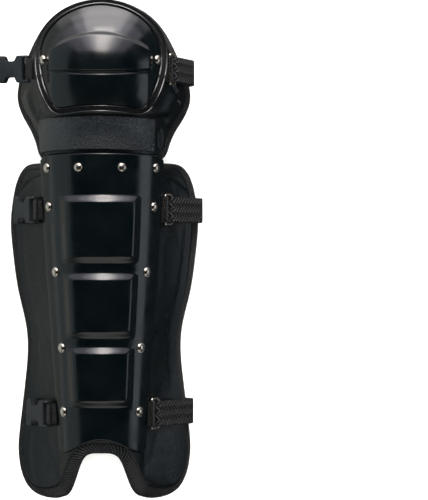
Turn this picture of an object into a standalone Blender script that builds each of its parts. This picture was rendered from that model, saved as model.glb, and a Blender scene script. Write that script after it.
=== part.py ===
# Umpire leg guard: moulded shin plate and knee cap on padded shields,
# lying on its straps with the hard side up.
# Metres. +Y runs from the foot lobes to the knee, +X to the strap side, +Z up.
import math

import bmesh
import bpy
from mathutils import Matrix, Vector

for item in list(bpy.data.objects):
    bpy.data.objects.remove(item, do_unlink=True)

# Clearances
GAP = 0.0003            # between pieces that touch
SEAT_GAP = 0.0009       # between a moulded shell and the pad under it

# Shin plate
PLATE_START = 0.045     # above the tips of the foot lobes
PLATE_LENGTH = 0.2745
PLATE_HALF_WIDTH = 0.0552
PLATE_WALL = 0.003
PLATE_ARCH = 0.0145     # rise of the lower edge at its middle
PLATE_DIP = 0.0024      # lower corners below the start
PLATE_CROWN = 0.0015    # rise of the top edge at its middle
PLATE_CORNER = 0.007
PLATE_ROUND_SHARE = 0.87    # half-width as a share of the radius across the plate
SHIN_CREST = 0.077      # pad surface above the ground along the middle
BOSS_HEIGHT = 0.005
BOSS_BEVEL = 0.006
BOSS_SHARE = 0.645      # boss half-width over the plate's half-width

# Shin pad
PLATE_OVERHANG = 0.0062     # plate beyond the pad's top edge
SHIN_PAD_HALF_WIDTH = 0.0898
CROTCH_DEPTH = 0.0444   # arch between the foot lobes
PAD_THICKNESS = 0.010
RIM_THICKNESS = 0.006
RIM_HEIGHT = 0.009      # pad rim above the ground
WING_SLOPE = 1.25
WING_FLARE = 1.38
RIM_BLEND = 0.006
BINDING_WIDTH = 0.0065

# Neck panel
NECK_CLEARANCE = 0.0032  # plate to panel, and panel to cap
NECK_HEIGHT = 0.0297
NECK_HALF_WIDTH = 0.052
NECK_ARCH = 0.0018
NECK_THICKNESS = 0.0065
NECK_EDGE = 0.0025

# Knee cap, its welt and its pad
CAP_HALF_WIDTH = 0.0582
CAP_TOP_REACH = 0.051   # from the widest line to the top
CAP_LOW_REACH = 0.0543  # from the widest line to the lower corners
CAP_LOW_OVAL = 0.0736   # half-axis of the oval that the lower sides follow
CAP_ARCH = 0.0039
CAP_WALL = 0.003
CAP_RADIUS = 0.0612     # across the pad under the cap
KNEE_CREST = 0.0995     # pad surface under the cap above the ground
DOME_SHARE = 0.86       # round part of the dome, as a share of its radius
VISOR_HALF_WIDTH = 0.0460
VISOR_HEIGHT = 0.004
VISOR_BEVEL = 0.006
CREASE_SAG = 0.0028     # of the visor's crease at its middle
WELT_WIDTH = 0.006
WELT_HEIGHT = 0.0045
KNEE_PAD_HALF_WIDTH = 0.0840
KNEE_PAD_RIM = 0.0037   # pad beyond the top of the cap
NECK_PAD_HALF_WIDTH = 0.0595
KNEE_PAD_TURN = 0.03    # stretch above the neck in which the pad's normals take up its rise

# Rounding of the outlines' corners, as a length along the edge
SHIN_SOFTNESS = 0.005
KNEE_SOFTNESS = 0.012
CAP_SOFTNESS = 0.010
FINE_STEPS = 360

# Rivets
RIVET_RADIUS = 0.0044
RIVET_DOME = 0.0024
SHANK_RADIUS = 0.0018
HOLE_CLEARANCE = 0.0003

# Straps, loops and buckles
STRAP_WIDTH = 0.024
STRAP_THICKNESS = 0.002
STRAP_END = -0.036      # where the strap meets its male buckle half
TAB_THICKNESS = 0.0016
TAB_WIDTH = 0.0195
BUCKLE_TAB_REACH = 0.0045   # shell to buckle
LOOP_TAB_REACH = 0.0015     # shell to wire loop
TAB_CLEARANCE = 0.0009      # shell to the start of a tab
WRAP_LENGTH = 0.007
LOOP_LENGTH = 0.0088
LOOP_CORNER = 0.0014
WIRE_RADIUS = 0.0011
BUCKLE_WIDTH = 0.025
BUCKLE_LENGTH = 0.030
BUCKLE_HEIGHT = 0.0088
BUCKLE_WALL = 0.0018
MOUTH_DEPTH = 0.019
WAIST_WIDTH = 0.0145    # between the buckle's side windows
WINDOW_START = 0.0085
WINDOW_LENGTH = 0.009
SLOT_LENGTH = 0.0042
BAR_LENGTH = 0.0018
MALE_LENGTH = 0.036
MALE_HEIGHT = 0.006

# Lower edge of the shin pad, from the crotch to the side
# columns: across, as a share of the lobes' half-width; up, as a share of the crotch depth
LOBE_HALF_WIDTH = 0.0826
LOBE_EDGE = (
    (0.00, 1.00), (0.15, 0.985), (0.235, 0.83), (0.31, 0.478), (0.375, 0.19), (0.46, 0.03),
    (0.60, -0.03), (0.757, 0.02), (0.871, 0.16), (0.945, 0.41), (0.983, 0.69), (1.00, 1.027),
)
# Side of the shin pad
# columns: up, as a share of the pad length; half-width, as a share of the widest
SHIN_SIDE = (
    (0.1455, 0.918), (0.194, 0.907), (0.290, 0.868), (0.412, 0.822), (0.479, 0.820),
    (0.533, 0.848), (0.632, 0.929), (0.753, 0.984), (0.827, 1.000), (0.899, 0.975),
    (0.948, 0.935), (0.980, 0.880), (1.000, 0.800),
)
# Middle line of the shin pad
# columns: up, as a share of the pad length; height, as a share of the crest
SHIN_PROFILE = ((0.0, 0.79), (0.16, 0.845), (0.35, 0.915), (0.65, 0.975), (0.88, 1.0), (1.0, 0.998))
# Side of the shin plate
# columns: up, as a share of the plate length; half-width, as a share of the widest
PLATE_SIDE = ((0.0, 0.685), (0.117, 0.722), (0.40, 0.815), (0.70, 0.925), (1.0, 1.0))
# Raised bosses, from the foot up
# columns: low edge and high edge, as shares of the plate length
BOSSES = ((0.155, 0.357), (0.386, 0.604), (0.637, 0.864))
# Plate rivets, one row for each mirrored pair
# columns: across, as a share of the half-width there; up, as a share of the plate length
PLATE_RIVETS = (
    (0.805, 0.137), (0.765, 0.353), (0.80, 0.608), (0.865, 0.827), (0.870, 0.958), (0.345, 0.957),
)
# Middle line of the knee pad, from the neck to the cap's highest line
# columns: up, as a share of that stretch; share of the rise from the shin crest to the knee crest
KNEE_PROFILE = ((0.0, 0.0), (0.12, 0.01), (0.24, 0.07), (0.44, 0.30), (0.60, 0.60), (0.80, 0.90), (1.0, 1.0))
KNEE_TOP_DROP = 0.46    # fall of the cap's middle line to its top edge, as a share of the crest
KNEE_TOP_POWER = 2.2
# Side of the knee pad, from the neck to the wing's widest line
# columns: up, as a share of that stretch; share of the way from the neck width to the wing width
KNEE_SIDE = ((0.0, 0.0), (0.18, 0.09), (0.42, 0.30), (0.60, 0.60), (0.78, 0.86), (1.0, 1.0))
# Upper edge of the knee pad, from the wing's widest line over the top
# columns: across, as a share of the wing's half-width; up, as a share of the stretch to the top
KNEE_TOP_EDGE = (
    (1.00, 0.00), (0.985, 0.08), (0.855, 0.39), (0.70, 0.68), (0.555, 0.83), (0.39, 0.935), (0.20, 0.985),
    (0.0, 1.0),
)
# Straps, from the knee down
# columns: name; up, as a share of the cap's lower reach or of the plate length; reach of the curl
# beyond the middle; radius of the curl
STRAPS = (
    ("top", 0.800, 0.0855, 0.0170),
    ("middle", 0.818, 0.0933, 0.0070),
    ("bottom", 0.1255, 0.0845, 0.0070),
)
TOP_BUCKLE_TILT = math.radians(16)

# Places that follow from the sizes
PLATE_TOP = PLATE_START + PLATE_LENGTH
SHIN_PAD_LENGTH = PLATE_TOP - PLATE_OVERHANG
NECK_LOW = PLATE_TOP + PLATE_CROWN + NECK_CLEARANCE / 2
NECK_TOP = NECK_LOW + NECK_HEIGHT
CAP_LOW = NECK_TOP + NECK_ARCH + NECK_CLEARANCE / 2
CAP_MIDDLE = CAP_LOW + CAP_LOW_REACH
CAP_TOP = CAP_MIDDLE + CAP_TOP_REACH
KNEE_LOW = SHIN_PAD_LENGTH + GAP
KNEE_TOP = CAP_TOP + KNEE_PAD_RIM
KNEE_HIGH_LINE = CAP_MIDDLE - 0.35 * CAP_TOP_REACH
WING_LINE = CAP_LOW + 0.40 * CAP_LOW_REACH


def interpolate(table, at):
    """Smooth value of a two-column table at a place in its first column."""
    keys = [row[0] for row in table]
    at = min(max(at, keys[0]), keys[-1])
    i = max(k for k in range(len(table) - 1) if keys[k] <= at)
    before, after = max(i - 1, 0), min(i + 2, len(table) - 1)
    span = keys[i + 1] - keys[i]
    t = (at - keys[i]) / span
    low, high = table[i][1], table[i + 1][1]
    slope_low = (high - table[before][1]) / (keys[i + 1] - keys[before]) * span
    slope_high = (table[after][1] - low) / (keys[after] - keys[i]) * span
    return (
        low * (2 * t**3 - 3 * t**2 + 1)
        + high * (3 * t**2 - 2 * t**3)
        + slope_low * (t**3 - 2 * t**2 + t)
        + slope_high * (t**3 - t**2)
    )


def curve_through(knots, count):
    """Points evenly spaced along a smooth curve through the knots."""
    fine = []
    for i in range(len(knots) - 1):
        a, b = Vector(knots[max(i - 1, 0)]), Vector(knots[i])
        c, d = Vector(knots[i + 1]), Vector(knots[min(i + 2, len(knots) - 1)])
        for k in range(12):
            t = k / 12
            fine.append(0.5 * (2 * b + (c - a) * t + (2 * a - 5 * b + 4 * c - d) * t**2
                               + (3 * b - a - 3 * c + d) * t**3))
    fine.append(Vector(knots[-1]))
    return evenly(fine, count)


def evenly(points, count):
    """The same polyline cut into equal lengths."""
    lengths = [0.0]
    for a, b in zip(points, points[1:]):
        lengths.append(lengths[-1] + (b - a).length)
    result, k = [], 0
    for i in range(count):
        want = lengths[-1] * i / (count - 1)
        while k < len(points) - 2 and lengths[k + 1] < want:
            k += 1
        t = (want - lengths[k]) / (lengths[k + 1] - lengths[k])
        result.append(points[k].lerp(points[k + 1], t))
    return result


def smooth_max(a, b, width):
    return 0.5 * (a + b + math.sqrt((a - b) ** 2 + width**2))


def smooth_step(low, high, value):
    t = min(max((value - low) / (high - low), 0.0), 1.0)
    return t * t * (3 - 2 * t)


# Surfaces

def plate_half(y):
    return PLATE_HALF_WIDTH * interpolate(PLATE_SIDE, (y - PLATE_START) / PLATE_LENGTH)


def shin_side_half(y):
    return SHIN_PAD_HALF_WIDTH * interpolate(SHIN_SIDE, y / SHIN_PAD_LENGTH)


def shin_height(x, y):
    """Outer face of the shin pad: a round vault with flared wings."""
    crest = SHIN_CREST * interpolate(SHIN_PROFILE, y / SHIN_PAD_LENGTH)
    core = plate_half(y)
    radius = core / PLATE_ROUND_SHARE
    across = abs(x)
    if across <= core:
        return crest - radius + math.sqrt(radius**2 - across**2)
    shoulder = crest - radius + math.sqrt(radius**2 - core**2)
    reach = max(shin_side_half(y) - core, 0.25 * core)
    rim = smooth_max(shoulder - WING_SLOPE * reach, RIM_HEIGHT, RIM_BLEND)
    s = (across - core) / reach
    return shoulder - (shoulder - rim) * (WING_FLARE * s - (WING_FLARE - 1) * s * s)


def knee_height(x, y):
    """Outer face of the knee pad: a round dome with straight sides."""
    neck_crest = SHIN_CREST * SHIN_PROFILE[-1][1] - GAP
    neck_radius = PLATE_HALF_WIDTH / PLATE_ROUND_SHARE
    if y < KNEE_HIGH_LINE:
        share = (y - KNEE_LOW) / (KNEE_HIGH_LINE - KNEE_LOW)
        crest = neck_crest + (KNEE_CREST - neck_crest) * interpolate(KNEE_PROFILE, share)
    else:
        share = (y - KNEE_HIGH_LINE) / (CAP_TOP - KNEE_HIGH_LINE)
        crest = KNEE_CREST * (1 - KNEE_TOP_DROP * share**KNEE_TOP_POWER)
    radius = neck_radius + (CAP_RADIUS - neck_radius) * smooth_step(NECK_LOW, CAP_LOW, y)
    edge = DOME_SHARE * radius
    across = min(abs(x), edge)
    side = edge / math.sqrt(radius**2 - edge**2)
    return crest - radius + math.sqrt(radius**2 - across**2) - side * (abs(x) - across)


def normal_at(height, x, y, lengthwise=1.0):
    """Unit normal of a height surface; lengthwise 0 keeps it square to Y."""
    step = 0.0005
    across = (height(x + step, y) - height(x - step, y)) / (2 * step)
    along = (height(x, y + step) - height(x, y - step)) / (2 * step)
    return Vector((-across, -along * lengthwise, 1.0)).normalized()


def on_surface(height, x, y, lift, lengthwise=1.0):
    return Vector((x, y, height(x, y))) + normal_at(height, x, y, lengthwise) * lift


# Outlines in plan

def inset(loop, distance):
    """A closed outline moved inwards along its normals."""
    result = []
    for i, point in enumerate(loop):
        along = (loop[(i + 1) % len(loop)] - loop[i - 1]).normalized()
        result.append(point + Vector((-along.y, along.x)) * distance)
    return result


def mirrored_edge(right_half):
    """An edge from the left end to the right end, from its right half."""
    left = [Vector((-p.x, p.y)) for p in reversed(right_half)]
    return left + right_half[1:]


def closed_outline(low, side, top):
    """Anticlockwise loop from a low edge, a right side and a top edge."""
    left = [Vector((-p.x, p.y)) for p in side]
    return low[:-1] + side[:-1] + list(reversed(top))[:-1] + list(reversed(left))[:-1]


def soft_edges(low, side, top, counts, softness):
    """Low edge, right side and top edge, with their corners rounded, cut into even steps."""
    whole = low + side[1:] + top[1:]
    lengths = [sum((b - a).length for a, b in zip(part, part[1:])) for part in (low, side, top)]
    fine = evenly(whole, FINE_STEPS + 1)
    reach = round(softness / sum(lengths) * FINE_STEPS)
    rounded = []
    for i in range(len(fine)):
        near = min(reach, i, len(fine) - 1 - i)
        window = fine[i - near:i + near + 1]
        rounded.append(sum(window, Vector((0, 0))) / len(window))
    first = round(lengths[0] / sum(lengths) * FINE_STEPS)
    second = round((lengths[0] + lengths[1]) / sum(lengths) * FINE_STEPS)
    low = evenly(rounded[:first + 1], counts[0])
    side = evenly(rounded[first:second + 1], counts[1])
    top = evenly(list(reversed(rounded[second:])), counts[0])
    return mirrored_edge(low), side, mirrored_edge(top)


def shin_pad_edges():
    knots = [(a * LOBE_HALF_WIDTH, u * CROTCH_DEPTH) for a, u in LOBE_EDGE]
    low = curve_through(knots, 120)
    side = [knots[-1]] + [(w * SHIN_PAD_HALF_WIDTH, u * SHIN_PAD_LENGTH) for u, w in SHIN_SIDE[1:]]
    side = curve_through(side, 120)
    return soft_edges(low, side, [side[-1], Vector((0, SHIN_PAD_LENGTH))], (15, 18), SHIN_SOFTNESS)


def knee_pad_edges():
    low = [Vector((0, KNEE_LOW)), Vector((NECK_PAD_HALF_WIDTH, KNEE_LOW))]
    grow = KNEE_PAD_HALF_WIDTH - NECK_PAD_HALF_WIDTH
    side = [(NECK_PAD_HALF_WIDTH + grow * w, KNEE_LOW + u * (WING_LINE - KNEE_LOW)) for u, w in KNEE_SIDE]
    top = [(w * KNEE_PAD_HALF_WIDTH, WING_LINE + u * (KNEE_TOP - WING_LINE)) for w, u in KNEE_TOP_EDGE]
    return soft_edges(low, curve_through(side, 60), curve_through(top, 80), (12, 13), KNEE_SOFTNESS)


def cap_edges():
    low_half = CAP_HALF_WIDTH * math.sqrt(1 - (CAP_LOW_REACH / CAP_LOW_OVAL) ** 2)
    low, side, top = [], [], []
    for i in range(41):
        share = i / 40
        low.append(Vector((low_half * share, CAP_LOW + CAP_ARCH * (1 - share**2))))
        down = CAP_LOW_REACH * (1 - share)
        side.append(Vector((CAP_HALF_WIDTH * math.sqrt(1 - (down / CAP_LOW_OVAL) ** 2), CAP_MIDDLE - down)))
        turn = math.pi / 2 * share
        top.append(Vector((CAP_HALF_WIDTH * math.cos(turn), CAP_MIDDLE + CAP_TOP_REACH * math.sin(turn))))
    return soft_edges(low, side, top, (10, 10), CAP_SOFTNESS)


def patch(edges, distance):
    """Grid of plan points filling an outline that is moved inwards."""
    low, side, top = edges
    loop = inset(closed_outline(low, side, top), distance)
    across, up = len(low), len(side)
    low = loop[:across]
    side = loop[across - 1:across + up - 1]
    top = list(reversed(loop[across + up - 2:2 * across + up - 2]))
    left = [loop[0]] + list(reversed(loop[2 * across + up - 3:]))
    grid = []
    for j in range(up):
        t = j / (up - 1)
        row = []
        for i in range(across):
            s = i / (across - 1)
            edge = low[i] * (1 - t) + top[i] * t + left[j] * (1 - s) + side[j] * s
            corner = (low[0] * (1 - s) + low[-1] * s) * (1 - t) + (top[0] * (1 - s) + top[-1] * s) * t
            row.append(edge - corner)
        grid.append(row)
    return grid


# Solids

root = bpy.data.objects.new("guard", None)
bpy.context.scene.collection.objects.link(root)


def make_material(name, colour, roughness, metallic=0.0):
    material = bpy.data.materials.new(name)
    material.use_nodes = True
    shader = material.node_tree.nodes["Principled BSDF"]
    shader.inputs["Base Color"].default_value = (*colour, 1.0)
    shader.inputs["Roughness"].default_value = roughness
    shader.inputs["Metallic"].default_value = metallic
    material.diffuse_color = (*colour, 1.0)
    return material


def add_object(name, bm, material, smooth=True):
    """A closed mesh with its faces outwards, as an object under the root."""
    bmesh.ops.recalc_face_normals(bm, faces=bm.faces)
    mesh = bpy.data.meshes.new(name)
    bm.to_mesh(mesh)
    bm.free()
    mesh.materials.append(material)
    if smooth:
        mesh.shade_smooth()
        mesh.set_sharp_from_angle(angle=math.radians(35))
    obj = bpy.data.objects.new(name, mesh)
    bpy.context.scene.collection.objects.link(obj)
    obj.parent = root
    return obj


def add_wall(name, outer, inner, material):
    """A solid between two grids of points with the same rows and columns."""
    bm = bmesh.new()
    faces = [[[bm.verts.new(p) for p in row] for row in grid] for grid in (outer, inner)]
    rows, columns = len(outer), len(outer[0])
    for grid in faces:
        for j in range(rows - 1):
            for i in range(columns - 1):
                bm.faces.new((grid[j][i], grid[j][i + 1], grid[j + 1][i + 1], grid[j + 1][i]))
    rim = [(0, i) for i in range(columns)] + [(j, columns - 1) for j in range(1, rows)]
    rim += [(rows - 1, i) for i in range(columns - 2, -1, -1)] + [(j, 0) for j in range(rows - 2, 0, -1)]
    for (j, i), (l, k) in zip(rim, rim[1:] + rim[:1]):
        bm.faces.new((faces[0][j][i], faces[1][j][i], faces[1][l][k], faces[0][l][k]))
    return add_object(name, bm, material)


def add_ring(name, sections, material):
    """A closed rail through sections with the same number of points."""
    bm = bmesh.new()
    rings = [[bm.verts.new(p) for p in section] for section in sections]
    for a, b in zip(rings, rings[1:] + rings[:1]):
        for k in range(len(a)):
            m = (k + 1) % len(a)
            bm.faces.new((a[k], a[m], b[m], b[k]))
    return add_object(name, bm, material)


def add_ribbon(name, path, middle, width, thickness, side, material):
    """A flat band that follows a path of (outwards, up) points and is wide along Y."""
    bm = bmesh.new()
    rings = []
    for i, point in enumerate(path):
        along = (path[min(i + 1, len(path) - 1)] - path[max(i - 1, 0)]).normalized()
        offset = Vector((-along.y, along.x)) * thickness / 2
        ring = []
        for away, up in (point + offset, point - offset):
            ring.append(bm.verts.new((side * away, middle - width / 2, up)))
            ring.append(bm.verts.new((side * away, middle + width / 2, up)))
        rings.append((ring[0], ring[1], ring[3], ring[2]))
    for a, b in zip(rings, rings[1:]):
        for k in range(4):
            bm.faces.new((a[k], a[(k + 1) % 4], b[(k + 1) % 4], b[k]))
    bm.faces.new(rings[0])
    bm.faces.new(rings[-1])
    return add_object(name, bm, material)


def add_box(bm, low, high):
    """A box between two corners; returns its vertices."""
    size = Vector(high) - Vector(low)
    matrix = Matrix.Translation((Vector(low) + Vector(high)) / 2) @ Matrix.Diagonal((*size, 1.0))
    return bmesh.ops.create_cube(bm, size=1.0, matrix=matrix)["verts"]


def add_prism(bm, outline, half_width):
    """A prism along Y from an outline of (x, z) points."""
    ends = [[bm.verts.new((x, y, z)) for x, z in outline] for y in (-half_width, half_width)]
    for k in range(len(outline)):
        m = (k + 1) % len(outline)
        bm.faces.new((ends[0][k], ends[0][m], ends[1][m], ends[1][k]))
    bm.faces.new(ends[0])
    bm.faces.new(ends[1])


def cut(obj, cutter):
    """Takes a hidden cutter out of an object."""
    cutter.hide_render = True
    cutter.display_type = "WIRE"
    modifier = obj.modifiers.new("cut_" + cutter.name, "BOOLEAN")
    modifier.operation = "DIFFERENCE"
    modifier.solver = "EXACT"
    modifier.object = cutter


abs_gloss = make_material("black_gloss_abs", (0.012, 0.012, 0.013), 0.12)
leather = make_material("black_synthetic_leather", (0.020, 0.020, 0.022), 0.45)
tape = make_material("black_woven_tape", (0.014, 0.014, 0.014), 0.8)
acetal = make_material("black_acetal", (0.016, 0.016, 0.016), 0.4)
nickel = make_material("nickel_plated_steel", (0.72, 0.70, 0.67), 0.2, 1.0)


def make_pad(name, edges, height, soft_ends):
    """A padded shield inside its binding, thinner towards its rim."""
    grid = patch(edges, BINDING_WIDTH + SEAT_GAP)
    rows, columns = len(grid), len(grid[0])
    outer, inner = [], []
    for j, row in enumerate(grid):
        outer.append([Vector((p.x, p.y, height(p.x, p.y))) for p in row])
        line = []
        for i, p in enumerate(row):
            share = min(min(i, columns - 1 - i) / 3, min(j, rows - 1 - j) / 2, 1.0)
            thickness = RIM_THICKNESS + (PAD_THICKNESS - RIM_THICKNESS) * share
            line.append(on_surface(height, p.x, p.y, -thickness, soft_ends(p.y)))
        inner.append(line)
    return add_wall(name, outer, inner, leather)


def make_binding(name, edges, height, soft_ends):
    """Woven tape round a pad's rim, level with the pad's faces."""
    loop = closed_outline(*edges)
    shoulder = inset(loop, 0.3 * BINDING_WIDTH)
    inside = inset(loop, BINDING_WIDTH)
    sections = []
    for a, b, c in zip(loop, shoulder, inside):
        sections.append((
            on_surface(height, c.x, c.y, 0.0, soft_ends(c.y)),
            on_surface(height, b.x, b.y, 0.0, soft_ends(b.y)),
            on_surface(height, a.x, a.y, -RIM_THICKNESS / 2, soft_ends(a.y)),
            on_surface(height, b.x, b.y, -RIM_THICKNESS, soft_ends(b.y)),
            on_surface(height, c.x, c.y, -RIM_THICKNESS, soft_ends(c.y)),
        ))
    return add_ring(name, sections, tape)


def square_ends(y):
    return 0.0


def knee_ends(y):
    return smooth_step(KNEE_LOW, KNEE_LOW + KNEE_PAD_TURN, y)


make_pad("shin_pad", shin_pad_edges(), shin_height, square_ends)
make_binding("shin_pad_binding", shin_pad_edges(), shin_height, square_ends)
make_pad("knee_pad", knee_pad_edges(), knee_height, knee_ends)
make_binding("knee_pad_binding", knee_pad_edges(), knee_height, knee_ends)


# Shin plate with its three bosses

def boss_rise(share_across, y):
    """Height of the bosses over the plate, with bevelled sides."""
    away = abs(share_across) * plate_half(y)
    edge = BOSS_SHARE * plate_half(y)
    for low, high in BOSSES:
        start, end = PLATE_START + low * PLATE_LENGTH, PLATE_START + high * PLATE_LENGTH
        inside = min(edge - away, y - start, end - y)
        if inside > 0:
            return BOSS_HEIGHT * min(inside / BOSS_BEVEL, 1.0)
    return 0.0


def plate_rows():
    rows = [PLATE_START + PLATE_ARCH + 0.25 * PLATE_ARCH]
    for low, high in BOSSES:
        start, end = PLATE_START + low * PLATE_LENGTH, PLATE_START + high * PLATE_LENGTH
        rows += [start, start + BOSS_BEVEL, (start + end) / 2, end - BOSS_BEVEL, end]
    return rows + [PLATE_TOP - 0.08 * PLATE_LENGTH, PLATE_TOP - PLATE_CORNER]


def corner_cut(away, half):
    """How far a rounded corner draws the edge back at a place across."""
    past = max(away - (half - PLATE_CORNER), 0.0)
    return PLATE_CORNER - math.sqrt(max(PLATE_CORNER**2 - past**2, 0.0))


def make_shin_plate():
    bevel = BOSS_BEVEL / plate_half(PLATE_START + PLATE_LENGTH / 2)
    face = BOSS_SHARE - bevel
    half = [0.0, face / 3, 2 * face / 3, face, BOSS_SHARE]
    for share in (0.25, 0.5, 0.72, 0.88, 1.0):
        half.append(BOSS_SHARE + share * (1 - BOSS_SHARE))
    columns = [-s for s in reversed(half[1:])] + half
    rows = plate_rows()
    outer, inner = [], []
    for j in range(len(rows) + 2):
        top_line, low_line = [], []
        for s in columns:
            if j == 0:
                width = plate_half(PLATE_START + PLATE_CORNER)
                y = PLATE_START - PLATE_DIP + PLATE_ARCH * (1 - s * s)**2 + corner_cut(abs(s) * width, width)
            elif j == len(rows) + 1:
                width = PLATE_HALF_WIDTH
                y = PLATE_TOP + PLATE_CROWN * (1 - s * s) - corner_cut(abs(s) * width, width)
            else:
                y = rows[j - 1]
            x = s * plate_half(y)
            rise = boss_rise(s, y)
            top_line.append(on_surface(shin_height, x, y, SEAT_GAP + PLATE_WALL + rise, 0.0))
            low_line.append(on_surface(shin_height, x, y, SEAT_GAP, 0.0))
        outer.append(top_line)
        inner.append(low_line)
    return add_wall("shin_plate", outer, inner, abs_gloss)


# Knee cap with its raised visor

def visor_rise(x, y):
    """Height of the visor over the cap, with a crease across its middle."""
    share = min(abs(x) / VISOR_HALF_WIDTH, 1.0)
    top = CAP_MIDDLE + (0.37 - 0.28 * share**2) * CAP_TOP_REACH
    sides = smooth_step(0.0, VISOR_BEVEL, VISOR_HALF_WIDTH - abs(x))
    upper = smooth_step(0.0, VISOR_BEVEL, top - y)
    crease = CAP_MIDDLE - 0.28 * CAP_LOW_REACH - CREASE_SAG * (1 - share**2)
    lower = 0.42 + 0.58 * smooth_step(-0.35 * VISOR_BEVEL, 0.35 * VISOR_BEVEL, y - crease)
    return VISOR_HEIGHT * sides * upper * lower


def make_knee_cap():
    outer, inner = [], []
    for row in patch(cap_edges(), WELT_WIDTH + SEAT_GAP):
        rise = [SEAT_GAP + CAP_WALL + visor_rise(p.x, p.y) for p in row]
        outer.append([on_surface(knee_height, p.x, p.y, r) for p, r in zip(row, rise)])
        inner.append([on_surface(knee_height, p.x, p.y, SEAT_GAP) for p in row])
    return add_wall("knee_cap", outer, inner, abs_gloss)


def make_cap_welt():
    loop = closed_outline(*cap_edges())
    inside = inset(loop, WELT_WIDTH)
    profile = ((0.0, 0.0), (0.0, 0.7), (0.3, 1.0), (0.8, 1.0), (1.0, 0.75), (1.0, 0.0))
    sections = []
    for a, b in zip(loop, inside):
        points = [(a.lerp(b, across), up) for across, up in profile]
        sections.append([
            on_surface(knee_height, p.x, p.y, SEAT_GAP + up * WELT_HEIGHT) for p, up in points
        ])
    return add_ring("cap_welt", sections, tape)


def make_neck_panel():
    columns, rows = 15, 7
    outer, inner = [], []
    for j in range(rows):
        t = j / (rows - 1)
        high, low = [], []
        for i in range(columns):
            s = 2 * i / (columns - 1) - 1
            arch = NECK_ARCH * (1 - s * s)
            x, y = s * NECK_HALF_WIDTH, NECK_LOW + t * NECK_HEIGHT + arch
            crown = min(1 - abs(s)**8, 1.0) * (1 - abs(2 * t - 1)**3)
            lift = NECK_EDGE + (NECK_THICKNESS - NECK_EDGE) * crown
            high.append(on_surface(knee_height, x, y, SEAT_GAP + lift, 0.0))
            low.append(on_surface(knee_height, x, y, SEAT_GAP, 0.0))
        outer.append(high)
        inner.append(low)
    return add_wall("neck_panel", outer, inner, leather)


plate = make_shin_plate()
cap = make_knee_cap()
make_cap_welt()
make_neck_panel()


# Rivets through the plate and the cap

def rivet_frame(height, x, y, lengthwise):
    up = normal_at(height, x, y, lengthwise)
    turn = up.to_track_quat("Z", "Y").to_matrix().to_4x4()
    return Matrix.Translation(on_surface(height, x, y, 0.0, lengthwise)) @ turn


def turned(bm, profile, sides, matrix):
    """A closed turned solid from (radius, height) points, from the top down."""
    rings = []
    for radius, z in profile:
        if radius == 0:
            rings.append([bm.verts.new(matrix @ Vector((0, 0, z)))])
            continue
        turns = [2 * math.pi * k / sides for k in range(sides)]
        rings.append([bm.verts.new(matrix @ Vector((radius * math.cos(a), radius * math.sin(a), z)))
                      for a in turns])
    for a, b in zip(rings, rings[1:]):
        for k in range(sides):
            m = (k + 1) % sides
            if len(a) == 1:
                bm.faces.new((a[0], b[k], b[m]))
            elif len(b) == 1:
                bm.faces.new((a[k], b[0], a[m]))
            else:
                bm.faces.new((a[k], b[k], b[m], a[m]))


def make_rivets():
    places = []
    for across, up in PLATE_RIVETS:
        y = PLATE_START + up * PLATE_LENGTH
        for side in (-1, 1):
            places.append((plate, shin_height, side * across * plate_half(y), y, 0.0, PLATE_WALL))
    for side in (-1, 1):
        y = CAP_MIDDLE - 0.08 * CAP_LOW_REACH
        x = side * (CAP_HALF_WIDTH - WELT_WIDTH - 0.6 * RIVET_RADIUS)
        places.append((cap, knee_height, x, y, 1.0, CAP_WALL))
    cutters = {plate: bmesh.new(), cap: bmesh.new()}
    for number, (shell, height, x, y, lengthwise, wall) in enumerate(places, 1):
        frame = rivet_frame(height, x, y, lengthwise)
        seat = SEAT_GAP + wall + 1.5 * GAP
        bm = bmesh.new()
        turned(bm, (
            (0, seat + RIVET_DOME),
            (0.6 * RIVET_RADIUS, seat + 0.78 * RIVET_DOME),
            (RIVET_RADIUS, seat + 0.12 * RIVET_DOME),
            (RIVET_RADIUS, seat),
            (SHANK_RADIUS, seat),
            (SHANK_RADIUS, GAP),
            (0, GAP),
        ), 8, frame)
        add_object("rivet_%d" % number, bm, nickel)
        hole = SHANK_RADIUS + HOLE_CLEARANCE
        turned(cutters[shell], ((0, seat + RIVET_DOME), (hole, seat + RIVET_DOME), (hole, -SEAT_GAP),
                                (0, -SEAT_GAP)), 8, frame)
    for shell, bm in cutters.items():
        cut(shell, add_object(shell.name + "_holes", bm, nickel))


make_rivets()


# Straps on the right, buckle halves on the left

def shell_half(name, y):
    """Half-width of the hard piece beside a strap, where it sits on the pad."""
    if name == "top":
        down = (CAP_MIDDLE - y) / CAP_LOW_OVAL
        return CAP_HALF_WIDTH * math.sqrt(max(1 - down**2, 0.0))
    return plate_half(y)


def section_seat(name, y):
    """Half-width of the hard piece, and a function that gives places on the pad beside it."""
    places = (y - STRAP_WIDTH / 2, y, y + STRAP_WIDTH / 2)
    height = knee_height if name == "top" else shin_height
    half = max(shell_half(name, place) for place in places)

    def seat(away, lift):
        step = 0.0005
        low, here, high = (max(height(x, place) for place in places) for x in (away - step, away, away + step))
        up = Vector((low - high, 2 * step)).normalized()
        return Vector((away, here)) + up * lift

    return half, seat


def arc(centre, radius, start, end, count):
    turns = [start + (end - start) * i / count for i in range(count + 1)]
    return [centre + Vector((math.cos(a), math.sin(a))) * radius for a in turns]


def square_up(along):
    return Vector((-along.y, along.x))


def tab_path(start, bar, along, wrap, back):
    """From the shell under a bar, round its far side and back over it."""
    angle = math.atan2(along.y, along.x)
    turn = arc(bar, wrap, angle - math.pi / 2, angle + math.pi / 2, 6)
    return [start] + turn + [bar + square_up(along) * wrap - along * back]


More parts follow.
